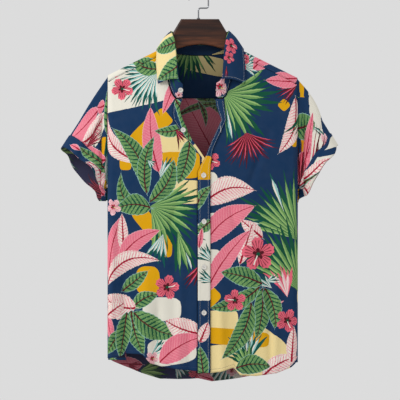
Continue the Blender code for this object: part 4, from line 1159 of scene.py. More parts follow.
def reaching(items, centres):
    """Whether each motif or patch reaches each face, and the face's shift to the nearest repeat."""
    shift = -items["tile"] * np.round((centres[:, None] - items["middle"]) / items["tile"])
    x, y = local_of(items, np.arange(len(items["kind"])), centres[:, None] + shift - items["base"])
    margin, kind, away = MARGIN / items["length"], items["kind"], np.hypot(x, y)
    patch = np.maximum(np.abs(x), np.abs(y)) < 1 + margin * 2
    leaf = (x > -margin) & (x < 1 + margin) & (np.abs(y) < items["width"] + margin)
    spread = (items["extra"] % 1) * math.pi / 2 * (1 + BLADE_CURVE) + items["width"]
    flower = away < 1 + margin
    fan = flower & ((np.abs(np.arctan2(y, x)) < spread) | (away < 2 * margin))
    sorts = [kind < NOTHING, kind < AFTER_LEAVES, kind < AFTER_FANS]
    return np.select(sorts, [patch, leaf, fan], flower), shift


def read(data, name, width, kind=float):
    """One property of all of a mesh's parts, as an array."""
    found = np.empty(len(data) * width, kind)
    data.foreach_get(name, found)
    return found


def store(mesh, name, *values):
    """Adds an attribute of three numbers on the face corners."""
    values = stacked(*values, np.zeros((1, 4)))[..., :3]
    attribute = mesh.attributes.new(name, "FLOAT_VECTOR", "CORNER")
    attribute.data.foreach_set("vector", np.ascontiguousarray(values, dtype=np.float32).ravel())


def paint(mesh, piece, points, fabric):
    """Stores on each face corner where it lies on the motifs and patches that reach it."""
    row = PIECES[piece]
    corners = read(mesh.uv_layers["Fabric"].data, "uv", 2).reshape(-1, 4, 2)
    centres = corners.mean(axis=1)
    start = np.array([row["shift_x"], row["shift_y"]]) * MM
    items = drawn(PRINT, lambda places: places + start, np.array(TILE) * MM)
    shown = np.zeros(len(centres), bool)
    if piece in OWN_PRINT:
        seen = seen_part(piece, points)
        own = drawn(
            OWN_PRINT[piece],
            lambda places: places if row["direct"] else seen_places(points, fabric, seen, places),
            (ONCE, ONCE),
        )
        items = {key: np.concatenate([items[key], own[key]]) for key in items}
        vertex = read(mesh.loops, "vertex_index", 1, int)
        place = read(mesh.vertices, "co", 3).reshape(-1, 3)
        shown = seen_part(piece, place[vertex].reshape(-1, 4, 3).mean(axis=1))
    inside, shift = reaching(items, centres)
    inside &= (items["tile"][:, 0] == ONCE) | ~shown[:, None]
    for name, layers in LAYERS.items():
        wanted = inside & ((items["kind"] > 0) == (name == "motif"))
        chosen = np.sort(np.where(wanted, np.arange(wanted.shape[1]), -1), axis=1)[:, -layers:]
        for layer, pick in enumerate(chosen.T, 1):
            offset = corners + (shift[np.arange(len(pick)), pick] - items["base"][pick])[:, None]
            code = np.where(pick >= 0, items["code"][pick], 0)
            store(mesh, f"{name}_{layer}", *local_of(items, pick[:, None], offset), code[:, None])
            if name == "motif":
                shape = (items[key][pick][:, None] for key in ("length", "width", "extra"))
                store(mesh, f"shape_{layer}", *shape)


# Making pieces


def linked(name, bm, looks, smoothly=False):
    """Makes an object of a mesh that stands in its place already."""
    mesh = bpy.data.meshes.new(name)
    bm.to_mesh(mesh)
    bm.free()
    if smoothly:
        mesh.shade_smooth()
    for look in looks:
        mesh.materials.append(look)
    made = bpy.data.objects.new(name, mesh)
    bpy.context.collection.objects.link(made)
    return made


def finished(name, bm, *looks):
    """Makes an object that rides on the shirt's body."""
    made = linked(name, bm, looks, True)
    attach(made, ROOT)
    return made


def cloth(piece, thick, *looks):
    """One piece of cloth: its middle surface, thickened, with its place on the flat cloth as UV map."""
    row = PIECES[piece]
    points, fabric, normal = grid_of(piece)
    rows, columns = points.shape[:2]
    bm = bmesh.new()
    bmesh.ops.create_grid(bm, x_segments=columns - 1, y_segments=rows - 1, size=1)
    layer = bm.loops.layers.uv.new("Fabric")
    bm.verts.index_update()
    for corner in bm.verts:
        place = divmod(corner.index, columns)
        corner.co = points[place]
        for loop in corner.link_loops:
            loop[layer].uv = fabric[place]
    bm.normal_update()
    bm.faces.ensure_lookup_table()
    face = bm.faces[len(bm.faces) // 2]
    if face.normal.dot(normal[divmod(face.verts[0].index, columns)]) < 0:
        bmesh.ops.reverse_faces(bm, faces=bm.faces)
    if row["closed"]:
        bmesh.ops.remove_doubles(bm, verts=bm.verts, dist=WELD)
    made = finished(piece + "_cloth", bm, *looks)
    paint(made.data, piece, points, fabric)
    solid = made.modifiers.new("Cloth", "SOLIDIFY")
    solid.thickness = thick
    solid.offset = 0
    solid.material_offset = 1
    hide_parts(piece)
    down, across = np.diff(fabric, axis=0)[:, :-1], np.diff(fabric, axis=1)[:-1]
    area = np.abs(down[..., 0] * across[..., 1] - down[..., 1] * across[..., 0]).sum()
    flat = np.ptp(fabric.reshape(-1, 2), axis=0)
    if row["strip"]:  # a straight strip, which lies in a curve
        flat[0] = area / flat[1] * 1.001


# Materials


class Number:
    """A number in a shader tree; arithmetic on it adds Math nodes."""

    def __init__(self, tree, socket):
        self.tree, self.socket = tree, socket

    def maths(self, operation, *others):
        return self.tree.maths(operation, self, *others)

    def between(self, low, high):
        return self.maths("MAXIMUM", low).maths("MINIMUM", high)

    def __rsub__(self, other):
        return self.tree.maths("SUBTRACT", other, self)

    def __abs__(self):
        return self.maths("ABSOLUTE")


for method, operation in {
    "__add__": "ADD", "__radd__": "ADD", "__sub__": "SUBTRACT", "__mul__": "MULTIPLY",
    "__rmul__": "MULTIPLY", "__truediv__": "DIVIDE", "__pow__": "POWER", "__lt__": "LESS_THAN",
    "__gt__": "GREATER_THAN",
}.items():
    setattr(Number, method, lambda self, other, operation=operation: self.maths(operation, other))


class Tree:
    """A shader tree that takes new nodes."""

    def __init__(self, tree):
        self.tree = tree

    def feed(self, socket, value):
        """Links a value to a socket, or sets it there."""
        value = getattr(value, "socket", value)
        if isinstance(value, bpy.types.NodeSocket):
            self.tree.links.new(value, socket)
        else:
            socket.default_value = opaque(value) if socket.type == "RGBA" else value

    def add(self, kind, values=None, output=0, **settings):
        """Makes a node from its type, values or links for its sockets, and its settings."""
        made = self.tree.nodes.new("ShaderNode" + kind)
        for key, value in settings.items():
            setattr(made, key, value)
        for key, value in (values or {}).items():
            self.feed(made.inputs[key], value)
        return made.outputs[output]

    def maths(self, operation, *items):
        return Number(self, self.add("Math", dict(enumerate(items)), operation=operation))

    def mix(self, factor, first, second):
        return self.add("Mix", {0: factor, 6: first, 7: second}, 2, data_type="RGBA")

    def noise(self, vector, scale, detail=1.0, distortion=0.0):
        values = {"Vector": vector, "Scale": scale, "Detail": detail, "Distortion": distortion}
        return Number(self, self.add("TexNoise", values))

    def parts(self, vector):
        """The three numbers of a vector."""
        return [Number(self, socket) for socket in self.add("SeparateXYZ", {0: vector}).node.outputs]

    def place(self):
        return self.add("TexCoord", output="Object")

    def steps(self, place, colours):
        """A colour that changes in even steps with place, from nothing through the colours."""
        made = self.add("ValToRGB", {0: (place + 0.5) / (len(colours) + 1)})
        ramp = made.node.color_ramp
        ramp.interpolation = "CONSTANT"
        while len(ramp.elements) <= len(colours):
            ramp.elements.new(1.0)
        for number, colour in enumerate([(0, 0, 0), *colours]):
            ramp.elements[number].position = number / (len(colours) + 1)
            ramp.elements[number].color = opaque(colour)
        return made


def opaque(colour):
    return (*colour[:3], 1.0)


def group(name, draw, look, *vectors):
    """A group, made once, that draws over a colour from vectors."""
    if name not in bpy.data.node_groups:
        made = bpy.data.node_groups.new(name, "ShaderNodeTree")
        labels = [(label, "INPUT", "Vector") for label in vectors]
        for label, way, kind in [*labels, ("Under", "INPUT", "Color"), ("Color", "OUTPUT", "Color")]:
            made.interface.new_socket(label, in_out=way, socket_type="NodeSocket" + kind)
        tree, given = Tree(made), made.nodes.new("NodeGroupInput").outputs
        result = draw(tree, look, given["Under"], *(tree.parts(given[label]) for label in vectors))
        tree.feed(made.nodes.new("NodeGroupOutput").inputs[0], result)
    return bpy.data.node_groups[name]


def material(name, draw, *settings):
    """A material, made once; draw gives the values and links of its shader's sockets."""
    if name not in bpy.data.materials:
        made = bpy.data.materials.new(name)
        made.use_nodes = True
        tree = Tree(made.node_tree)
        for key, value in draw(tree, *settings).items():
            tree.feed(made.node_tree.nodes["Principled BSDF"].inputs[key], value)
    return bpy.data.materials[name]


def blades(tree, turn, away, width, extra, offset, fullness):
    """Masks of a fan's blades, their lit halves and their tips. offset moves them by shares of a step."""
    seed = extra.maths("FLOOR")
    spread = (extra - seed) * (math.pi / 2)
    curve = 1 + BLADE_CURVE * away * away
    number = (turn / width / curve + offset).maths("ROUND") - offset
    chance = tree.add("TexWhiteNoise", {"W": number + seed * 17.3}, "Color", noise_dimensions="1D")
    red, green, _ = tree.parts(chance)
    share = (away / (0.66 + 0.34 * red)).maths("MINIMUM", 1.0)
    side = (turn - number * width * curve - (green - 0.5) * away * width * 0.6) * away
    half = width * fullness * (away * BLADE_BASE).maths("MINIMUM", (1 - share) ** 0.7 * BLADE_TIP)
    blade = (abs(side) < half) * (abs(number * width) < spread + 0.01)
    return blade, blade * (side > half * 0.12), blade * (share + abs(side) / (half + 0.001) * 0.16 > 0.86)


def draw_motif(tree, look, under, place, shape, wobble):
    """Draws one motif over a colour, from a face's place on it."""
    (x, y, kind), (length, width, extra), (wobble_x, wobble_y, grain) = place, shape, wobble
    length = length / MM
    x, y = x + wobble_x / length, y + wobble_y / length
    away = (x * x + y * y) ** 0.5
    turn = y.maths("ARCTAN2", x)
    fan = (kind > AFTER_LEAVES) * (kind < AFTER_FANS)

    # leaves: a wavy outline, veins that taper outwards, one half shaded, a rib and a rim
    profile = (x.between(0.001, 0.999) ** 0.85 * math.pi).maths("SINE").maths("MAXIMUM", 0.0) ** 0.75
    vein = (x - abs(y) * 0.75) * length / (look.vein_pitch / MM * (1 - 0.3 * (kind > AFTER_GREEN)))
    edge = width * profile * (0.985 + 0.025 * (vein * 2 * math.pi).maths("SINE")) - abs(y)
    across = abs(y) / (width * profile + 0.001)
    leaf = (kind < AFTER_LEAVES) * (kind > NOTHING) * (edge > 0)
    blotch = leaf * (grain > 0.3)
    shaded = leaf * (y < 0) * (across < 0.8 + 0.3 * grain)
    stripe = (vein + 0.12 * grain).maths("FRACT") < extra * (1.35 - 0.85 * across)
    stripe = leaf * stripe * (abs(y) * length > 0.8)
    speckle = leaf * (kind > AFTER_PINK) * (edge * length < 3.2) * (abs(grain) < 0.13)
    rib = leaf * (abs(y) * length < (1.75 - 1.2 * x) * (1 + 0.5 * (kind > AFTER_PINK)))
    rim = leaf * (edge * length < 0.9)

    # fans: two layers of blades, narrower ones for spikes
    narrower = 1 - 0.45 * (kind > AFTER_PALMS) * (kind < AFTER_SPIKES)
    blade, lit, tips = blades(tree, turn, away, width, extra, 0.0, narrower)
    under_blade = blades(tree, turn, away, width, extra, 0.5, narrower * 1.5)[0]

    # flowers: five petals with folds between them, streaks, a heart and a stamen
    petal = abs((turn * 2.5).maths("COSINE"))
    bloom = (kind > AFTER_FANS) * (away < 0.34 + 0.62 * petal**0.45 + 0.03 * (turn * 23.0).maths("SINE"))
    fold = bloom * (petal < 0.20) * (away > 0.2)
    streak = bloom * (away < 0.78) * (abs((turn * 12.5).maths("SINE")) > 0.86)
    heart = bloom * (away < 0.16 + 0.18 * petal)
    stamen = bloom * (abs(y - 0.25 * x * x) < 0.035) * (x > 0) * (x < 0.66)

    parts = ("body", "second", "line", "rib", "rim")
    colours = {name: tree.steps(kind, [getattr(look, row[name]) for row in MOTIFS]) for name in parts}
    for factor, name in (
        (fan * under_blade, "second"),
        (leaf + bloom + fan * blade, "body"),
        (blotch * 0.55 + fan * lit, "line"),
        (shaded * 0.16, "second"),
        (stripe + fold + speckle + fan * tips, "second"),
        (rib + heart + 0.7 * streak, "rib"),
        (rim * 0.8 + stamen, "rim"),
    ):
        under = tree.mix(factor, under, colours[name])
    return tree.mix(bloom * (away < 0.10), under, look.dark_green)


def draw_patch(tree, look, under, place, wobble):
    """Draws one patch of ground over a colour."""
    (x, y, code), (wobble_x, wobble_y, _) = place, wobble
    tone = code.maths("FLOOR")
    power = (code - tone) * 10
    inside = abs(x + wobble_x * 0.02) ** power + abs(y + wobble_y * 0.02) ** power < 1.0
    colours = tree.steps(tone, [getattr(look, name) for name in TONES])
    return tree.mix(inside * (tone > NOTHING), under, colours)


def printed(tree, look, sewing, shade, tone):
    """Printed cotton, its print mixed with a tone by a share."""
    uv = tree.add("UVMap", uv_map="Fabric")
    wave_x, wave_y, _ = tree.parts(tree.noise(uv, WAVES).socket.node.outputs["Color"])
    size, grain = 2 * look.wobble / MM, tree.noise(uv, GRAIN)
    wobble = dict(enumerate(((wave_x - 0.5) * size, (wave_y - 0.5) * size, (grain - 0.5) * 4)))
    wobble = tree.add("CombineXYZ", wobble)
    colour = look.navy
    for kind, drawing, places in (
        ("patch", group("Print ground", draw_patch, look, "Place", "Wobble"), {"Place": "patch"}),
        ("motif", group("Print motif", draw_motif, look, "Place", "Shape", "Wobble"),
         {"Place": "motif", "Shape": "shape"}),
    ):
        for layer in range(1, LAYERS[kind] + 1):
            given = {
                key: tree.add("Attribute", output="Vector", attribute_name=f"{name}_{layer}")
                for key, name in places.items()
            }
            colour = tree.add("Group", {**given, "Wobble": wobble, "Under": colour}, node_tree=drawing)
    colour = tree.mix(tree.noise(uv, WEAR, 3.0) * look.worn, colour, look.wash)
    # painted shade: the inside looks mix towards a dark tone; for the lining this is wholly painted shade of
    # the neck's inside, for the wrong side partly its duller back and partly painted shade
    if shade:
        colour = tree.mix(shade, colour, tone)
    stretched = tree.add("Mapping", {"Vector": uv, "Scale": (1.0, 0.35, 1.0)})
    height = tree.noise(stretched, CRINKLES, 3.0) * sewing.crinkle
    for direction in ("X", "Y"):
        threads = tree.add(
            "TexWave", {"Vector": uv, "Scale": THREADS, "Distortion": 0.6, "Detail": 1.0}, "Fac",
            wave_type="BANDS", bands_direction=direction,
        )
        height = height + Number(tree, threads) * (sewing.weave * 0.5)
    return {
        "Base Color": colour, "Roughness": 0.85, "Sheen Weight": 0.02, "Specular IOR Level": 0.06,
        "Normal": tree.add("Bump", {"Height": height, "Distance": 1.0, "Strength": 1.0}),
    }


def cloth_looks(scene):
    """The print's right side; its wrong side, duller and partly darkened by painted shade; and the neck's
    lining, the print darkened by painted shade.
    """
    look = scene.shirt_print
    return {
        kind: material(name, printed, look, scene.shirt_cloth, shade, tone)
        for kind, name, shade, tone in (
            ("cotton", "Printed cotton", 0, None),
            ("wrong", "Printed cotton inside", look.fade, look.wrong_side_and_shade),
            ("lining", "Printed cotton lining in painted shade", look.lining, look.lining_shade),
        )
    }


def varied(tree, colour, roughness, spread=0.1, scale=900.0, metallic=0.0):
    """One colour that varies a little."""
    grain = tree.noise(tree.place(), scale, 2.0)
    dark = tuple(channel * (1 - 2 * spread) for channel in colour)
    return {
        "Base Color": tree.mix(grain, dark, colour), "Roughness": grain * 0.1 + (roughness - 0.05),
        "Metallic": metallic,
    }


def pearl(tree, look):
    """Pale mother-of-pearl, with soft bands."""
    bands = tree.noise(tree.place(), 260.0, 2.0, 1.5)
    return {
        "Base Color": tree.mix(bands, look.pearl_dark, look.pearl), "Roughness": 0.28, "Coat Weight": 0.3,
    }


def walnut(tree, look):
    """Dark stained wood with its grain along the board."""
    place = tree.place()
    grain = tree.noise(tree.add("Mapping", {"Vector": place, "Scale": (6.0, 40.0, 70.0)}), 1.6, 4.0, 0.8)
    strong = ((grain - 0.35) * 2.6).between(0.0, 1.0)
    # lighter, redder brown on the strong grain, below a height
    low = ((BOARD_LOW_TONE_Z - tree.parts(place)[2]) * 28.0).between(0.0, 1.0)
    colour = tree.mix(strong, look.wood_dark, look.wood)
    return {
        "Base Color": tree.mix(low * strong * 0.7, colour, look.wood_low_tone),
        "Roughness": 0.5, "Coat Weight": 0.1, "Specular IOR Level": 0.3,
        "Normal": tree.add("Bump", {"Height": grain, "Distance": 0.00012}),
    }


# Sewing


def on_grid(points, rows, columns):
    """Points of a grid at places between its rows and columns."""
    rows = np.clip(rows, 0, points.shape[0] - 1)
    columns = np.clip(columns, 0, points.shape[1] - 1)
    r = np.minimum(rows.astype(int), points.shape[0] - 2)
    c = np.minimum(columns.astype(int), points.shape[1] - 2)
    down, across = (rows - r)[:, None], (columns - c)[:, None]
    near = points[r, c] * (1 - across) + points[r, c + 1] * across
    far = points[r + 1, c] * (1 - across) + points[r + 1, c + 1] * across
    return near * (1 - down) + far * down


def rows_in(points, distance):
    """The places between a grid's rows at a distance in from its first row and from its last."""
    run = running(np.linalg.norm(np.diff(points, axis=0), axis=2).mean(axis=1))
    return np.interp([distance, run[-1] - distance], run, np.arange(len(run)))


def seam_route(points, edge, inset):
    """Places along a seam on a piece's grid, as (rows, columns)."""
    head, foot = rows_in(points, inset * MM)
    left, right = rows_in(points.transpose(1, 0, 2), inset * MM)
    end = points.shape[1] - 1
    lines = {
        "head": [((head, 0), (head, end), EDGE_SAMPLES)],
        "foot": [((foot, 0), (foot, end), EDGE_SAMPLES)],
        "left": [((head, left), (foot, left), EDGE_SAMPLES)],
        "right": [((head, right), (foot, right), EDGE_SAMPLES)],
        "round": [
            ((0, left), (foot, left), SIDE_SAMPLES), ((foot, left), (foot, right), ROUND_SAMPLES),
            ((foot, right), (0, right), SIDE_SAMPLES),
        ],
    }
    return np.concatenate([np.linspace(*line) for line in lines[edge]]).T


def turned_to(here, ahead, out):
    """A place whose X axis points ahead and whose Z axis points out."""
    ahead, up = Vector(ahead).normalized(), Vector(out)
    up = (up - ahead * up.dot(ahead)).normalized()
    return Matrix.Translation(Vector(here)) @ Matrix((ahead, up.cross(ahead), up)).transposed().to_4x4()


def bead(bm, place, size, smoothness=1, offset=(0, 0, 0)):
    """Adds a rounded bit of thread, moved from its place by an offset in it."""
    matrix = place @ Matrix.Translation(offset) @ Matrix.Diagonal((*size, 1))
    bmesh.ops.create_icosphere(bm, subdivisions=smoothness, radius=1.0, matrix=matrix)


def sew(name, thread, seams, look):
    """Rows of small stitches along the edges of pieces."""
    bm = bmesh.new()
    size = (look.stitch * 0.55, look.thread, look.thread * 0.8)  # beads that overlap a little, pressed flat
    for seam in seams:
        points, _, normal = grid_of(seam["piece"])
        route = seam_route(points, seam["edge"], seam["inset"])
        out = unit(on_grid(normal, *route))
        places = on_grid(points, *route) + out * (seam["thick"] / 2 + 0.05) * MM
        run = running(np.linalg.norm(np.diff(places, axis=0), axis=1))
        pitch = look.stitch + look.stitch_gap
        starts = np.arange(int((run[-1] - look.stitch) / pitch)) * pitch + look.stitch_gap
        first, facing, last = (
            stacked(*(np.interp(starts + look.stitch * share, run, axis) for axis in kind.T))
            for share, kind in ((0, places), (0.5, out), (1, places))
        )
        for start, end, way in zip(first, last, facing):
            if np.linalg.norm(end - start) > look.stitch / 2:
                bead(bm, turned_to((start + end) / 2, end - start, way), size)
    return finished(name, bm, thread)


# Buttons


def ring(bm, radius, height, segments, x=0.0, y=0.0):
    turns = (2 * math.pi * number / segments for number in range(segments))
    places = ((x + radius * math.cos(turn), y + radius * math.sin(turn), height) for turn in turns)
    corners = [bm.verts.new(place) for place in places]
    return [bm.edges.new(pair) for pair in zip(corners, corners[1:] + corners[:1])]


def button_mesh():
    """A dished disc with four holes."""
    bm = bmesh.new()
    radius, height, floor = BUTTON_RADIUS, BUTTON_HEIGHT, BUTTON_HEIGHT * DISH_LEVEL
    # from the foot's hollow out, round the rim and down into the dish
    corners = [bm.verts.new((x, 0, z)) for x, z in (
        (DISH_RADIUS, 0.2 * MM), (radius - 0.7 * MM, 0.1 * MM), (radius, height * 0.45),
        (radius - 0.15 * MM, height * 0.8), (radius - 0.6 * MM, height), (radius - 1.2 * MM, height * 0.96),
        (DISH_RADIUS + 0.3 * MM, height * 0.66), (DISH_RADIUS, floor),
    )]
    edges = [bm.edges.new(pair) for pair in zip(corners, corners[1:])]
    bmesh.ops.spin(
        bm, geom=corners + edges, cent=(0, 0, 0), axis=(0, 0, 1), dvec=(0, 0, 0),
        angle=2 * math.pi, steps=DISC_SEGMENTS, use_merge=True,
    )
    plates = []
    for level in (floor, 0.2 * MM):
        outline = ring(bm, DISH_RADIUS, level, DISC_SEGMENTS)
        plates.append([
            ring(bm, HOLE_RADIUS, level, HOLE_SEGMENTS, x * HOLE_PLACE, y * HOLE_PLACE)
            for x, y in ((1, 1), (-1, 1), (-1, -1), (1, -1))
        ])
        bmesh.ops.triangle_fill(bm, edges=sum(plates[-1], outline))
    for upper, lower in zip(*plates):
        bmesh.ops.bridge_loops(bm, edges=upper + lower)
    bmesh.ops.remove_doubles(bm, verts=bm.verts, dist=10 * WELD)
    bmesh.ops.recalc_face_normals(bm, faces=bm.faces)
    return bm


def on_front(row, *lifts):
    """Points on the front at a fastening's place, at heights above the cloth."""
    path, z = np.array([row["x"] * MM - BODY_X]), np.array([row["z"] * MM])
    return [lifted("front", path, z, lift)[0] for lift in lifts]


def button_seat(row):
    """Where a button lies, and the direction that it faces."""
    if row["on"] == "stand":
        stand = stand_points(row["x"] + np.array([-0.01, 0, 0.01]), (0.3, 0.5, 0.7))
        out = grid_normals(stand, CORE)[1, 1]
        return stand[1, 1] + out * LAYER, out
    lift = BUTTON_LIFT[row["on"]] + SEAM
    seat, above = on_front(row, lift, lift + MM)
    return seat, above - seat


def make_button(row, disc, thread):
    seat, out = button_seat(row)
    place = Matrix.Translation(Vector(seat)) @ Vector(out).to_track_quat("Z", "Y").to_matrix().to_4x4()
    bm = button_mesh()
    bmesh.ops.transform(bm, matrix=place, verts=bm.verts)
    made = finished(row["name"] + "_disc", bm, disc)
    made.data.set_sharp_from_angle(angle=math.radians(40))
    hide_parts(row["name"])
    bm = bmesh.new()
    top = BUTTON_HEIGHT * DISH_LEVEL + 0.12 * MM
    for x in (-HOLE_PLACE, HOLE_PLACE):
        for strand in (-0.22, 0.0, 0.22):
            bead(bm, place, (0.14 * MM, HOLE_PLACE + 0.35 * MM, 0.26 * MM), 2, (x + strand * MM, 0, top))
    finished(row["name"] + "_thread", bm, thread)


def make_buttonhole(row, thread, slit):
    """A slit sewn round with close stitches, on the cloth."""
    if row["on"] == "stand":
        points, _, normal = grid_of("collar_stand")
        rows, columns = (np.array([row[key] * (size - 1)]) for key, size in zip(("z", "x"), points.shape))
        here, out = on_grid(points, rows, columns)[0], on_grid(normal, rows, columns)[0]
        ahead = on_grid(points, rows, columns - 1)[0] - here
        here = here + out * 0.75 * MM
    else:
        lift = BUTTON_LIFT["placket"] - 0.3 * MM
        here, above = on_front(row, lift, lift + MM)
        out, ahead = above - here, on_front({**row, "z": row["z"] - 2}, lift)[0] - here
    place = turned_to(here, ahead, out)
    for along in np.linspace(-BUTTONHOLE_HALF, BUTTONHOLE_HALF, BUTTONHOLE_STITCHES):
        for across in (-BUTTONHOLE_SIDE, BUTTONHOLE_SIDE):
            bead(thread, place, (0.30 * MM, 0.55 * MM, 0.22 * MM), 1, (along, across, 0.1 * MM))
    bead(slit, place, (BUTTONHOLE_HALF, 0.18 * MM, 0.2 * MM), 2)


# The add-on


def length(name, description, millimetres):
    return FloatProperty(name=name, description=description, default=millimetres * MM, unit="LENGTH")


def share(name, description, default):
    return FloatProperty(name=name, description=description, default=default, min=0, max=1, subtype="FACTOR")


def watts(name, description, default):
    return FloatProperty(name=name, description=description, default=default, unit="POWER")


def tint(name, description, colour):
    """A colour property, from 8-bit display values."""
    linear = [((c / 255 + 0.055) / 1.055) ** 2.4 if c > 10 else c / 255 / 12.92 for c in colour]
    return FloatVectorProperty(name=name, description=description, default=linear, subtype="COLOR")


class ShirtCloth(bpy.types.PropertyGroup):
    """The shirt's cloth and its sewing."""

    thickness: length("Thickness", "Of one layer of cloth", 0.9)
    doubled: length("Doubled thickness", "Of the cloth of collar and placket", 1.4)
    crinkle: length("Crinkle", "Height of the soft crinkles", 0.8)
    weave: length("Weave", "Height of the threads", 0.06)
    stitch: length("Stitch", "Length of one stitch", 2.5)
    stitch_gap: length("Stitch gap", "Between stitches", 0.8)
    thread: length("Thread", "Half width of the thread", 0.32)
    pale_thread: tint("Pale thread", "Of the topstitching", (231, 230, 223))
    dark_thread: tint("Dark thread", "Of hems and seams", (63, 79, 111))


class ShirtPrint(bpy.types.PropertyGroup):
    """Colours and drawing of the print."""

    navy: tint("Navy", "Ground of the print", (16, 52, 90))
    cream: tint("Cream", "Pale patches of the ground", (234, 230, 216))
    yellow: tint("Pale yellow", "Yellowish patches of the ground", (244, 222, 160))
    mustard: tint("Mustard", "Strong patches of the ground", (228, 168, 0))
    leaf_green: tint("Leaf green", "Striped leaves", (108, 152, 92))
    light_green: tint("Light green", "Lit halves of palm blades", (154, 192, 118))
    mid_green: tint("Mid green", "Palm leaves", (112, 158, 90))
    dark_green: tint("Dark green", "Stripes and shaded blades", (8, 82, 58))
    teal: tint("Teal", "Pale blades", (160, 208, 202))
    dark_teal: tint("Dark teal", "Shaded pale blades", (6, 88, 80))
    pink: tint("Pink", "Pink leaves", (234, 118, 140))
    light_pink: tint("Light pink", "Veins of the pink leaves", (243, 146, 160))
    pale_pink: tint("Pale pink", "Blossoms and rims", (248, 200, 206))
    coral: tint("Coral", "Large flowers", (238, 106, 126))
    dark_red: tint("Dark red", "Ribs and spikes", (168, 18, 50))
    maroon: tint("Maroon", "Ribs and hearts of flowers", (88, 16, 30))
    white: tint("White", "Leaves, rims and stamens", (246, 238, 226))
    wash: tint("Wash", "Tone that the print fades towards", (200, 196, 196))
    # the cloth's dusky back, made darker with painted shade from the inside of the shirt
    wrong_side_and_shade: tint("Wrong side", "Tone of the cloth's back", (66, 46, 50))
    # painted shade: near black, standing for the shade inside the neck over the lining, which shows the
    # print's right side
    lining_shade: tint("Lining tone", "Tone of the lining", (6, 10, 20))
    worn: share("Worn", "How far uneven wear fades the print", 0.03)
    # how far the wrong side goes to that tone: partly its duller back, partly painted shade
    fade: share("Fade", "How far the wrong side goes to its tone", 0.5)
    # how far the lining's print is darkened by painted shade
    lining: share("Lining", "How far the lining goes to its tone", 0.55)
    wobble: length("Wobble", "Unevenness of painted edges", 1.1)
    vein_pitch: length("Vein pitch", "Between the veins", 9.6)


class ShirtHanger(bpy.types.PropertyGroup):
    """Hanger and buttons."""

    wood: tint("Wood", "The board's stain", (66, 34, 20))
    wood_dark: tint("Dark wood", "The board's dark grain", (36, 16, 10))
    wood_low_tone: tint("Light wood", "The board's lights, low in the middle", (126, 70, 38))
    pearl: tint("Pearl", "The buttons", (240, 238, 232))
    pearl_dark: tint("Dark pearl", "Shaded bands of the buttons", (206, 200, 192))
    wire: tint("Wire", "The hook", (128, 130, 134))
    wire_roughness: share("Wire roughness", "Of the hook", 0.18)


class ShirtStage(bpy.types.PropertyGroup):
    """Light, floor and camera."""

    background: tint("Background", "Behind the shirt", (220, 220, 220))
    floor: tint("Floor", "Under the shirt", (200, 200, 200))
    key: watts("Key light", "Of the large light", 44)
    back: watts("Back light", "Of the light behind", 8)
    distance: length("Camera distance", "From the shirt", 6000)
    view_width: length("View width", "Seen at the shirt", 880)


class SHIRT_OT_stage(bpy.types.Operator):
    """Adds the camera, the lights and the floor"""

    bl_idname = "shirt.stage"
    bl_label = "Stage"

    def execute(self, context):
        look = context.scene.shirt_stage
        lens = bpy.data.cameras.new("Camera")
        camera = bpy.data.objects.new("Camera", lens)
        camera.location = VIEW_CENTRE - Vector((0, look.distance, 0))
        camera.rotation_euler = (math.pi / 2, 0, 0)
        lens.lens = lens.sensor_width * look.distance / look.view_width
        context.collection.objects.link(camera)
        context.scene.camera = camera
        world = bpy.data.worlds.new("World")
        world.use_nodes = True
        world.node_tree.nodes["Background"].inputs[0].default_value = (*look.background, 1)
        context.scene.world = world
        for name, power, place in (("Key light", look.key, KEY_PLACE), ("Back light", look.back, BACK_PLACE)):
            light = bpy.data.lights.new(name, "AREA")
            light.energy, light.size = power, LIGHT_SIZE
            lamp = bpy.data.objects.new(name, light)
            lamp.location = place
            lamp.rotation_euler = (place - LIGHT_AIM).to_track_quat("Z", "Y").to_euler()
            context.collection.objects.link(lamp)
        bm = bmesh.new()
        matrix = Matrix.Translation((0, 0, FLOOR_Z))
        bmesh.ops.create_circle(bm, cap_ends=True, segments=64, radius=FLOOR_RADIUS, matrix=matrix)
        floor = linked("Floor", bm, [material("Floor", varied, look.floor, 0.8, 0.01, 3.0)])
        context.scene.view_settings.view_transform = "Standard"
        return {"FINISHED"}


def sewn_pieces(context, *names):
    looks = cloth_looks(context.scene)
    for name in names:
        row = PIECES[name]
        thick = getattr(context.scene.shirt_cloth, row["thick"])
        cloth(name, thick, looks[row["outside"]], looks[row["inside"]])
    return {"FINISHED"}


class SHIRT_OT_fronts(bpy.types.Operator):
    """Adds both front panels"""

    bl_idname = "shirt.fronts"
    bl_label = "Fronts"

    def execute(self, context):
        return sewn_pieces(context, "front_right", "front_left")


class SHIRT_OT_back(bpy.types.Operator):
    """Adds the back panel"""

    bl_idname = "shirt.back"
    bl_label = "Back"

    def execute(self, context):
        return sewn_pieces(context, "back")


class SHIRT_OT_yoke(bpy.types.Operator):
    """Adds the yoke over the shoulders and its lining"""

    bl_idname = "shirt.yoke"
    bl_label = "Yoke"

    def execute(self, context):
        return sewn_pieces(context, "yoke", "yoke_inner")


class SHIRT_OT_collar(bpy.types.Operator):
    """Adds the collar's stand and its leaf"""

    bl_idname = "shirt.collar"
    bl_label = "Collar"

    def execute(self, context):
        return sewn_pieces(context, "collar_stand", "collar_leaf")


class SHIRT_OT_strips(bpy.types.Operator):
    """Adds the buttonhole placket and the button band"""

    bl_idname = "shirt.strips"
    bl_label = "Front strips"

    def execute(self, context):
        return sewn_pieces(context, "placket", "button_band")


class SHIRT_OT_sleeves(bpy.types.Operator):
    """Adds both sleeves and their folded ends"""

    bl_idname = "shirt.sleeves"
    bl_label = "Sleeves"

    def execute(self, context):
        return sewn_pieces(context, "sleeve_right", "sleeve_left", "cuff_right", "cuff_left")


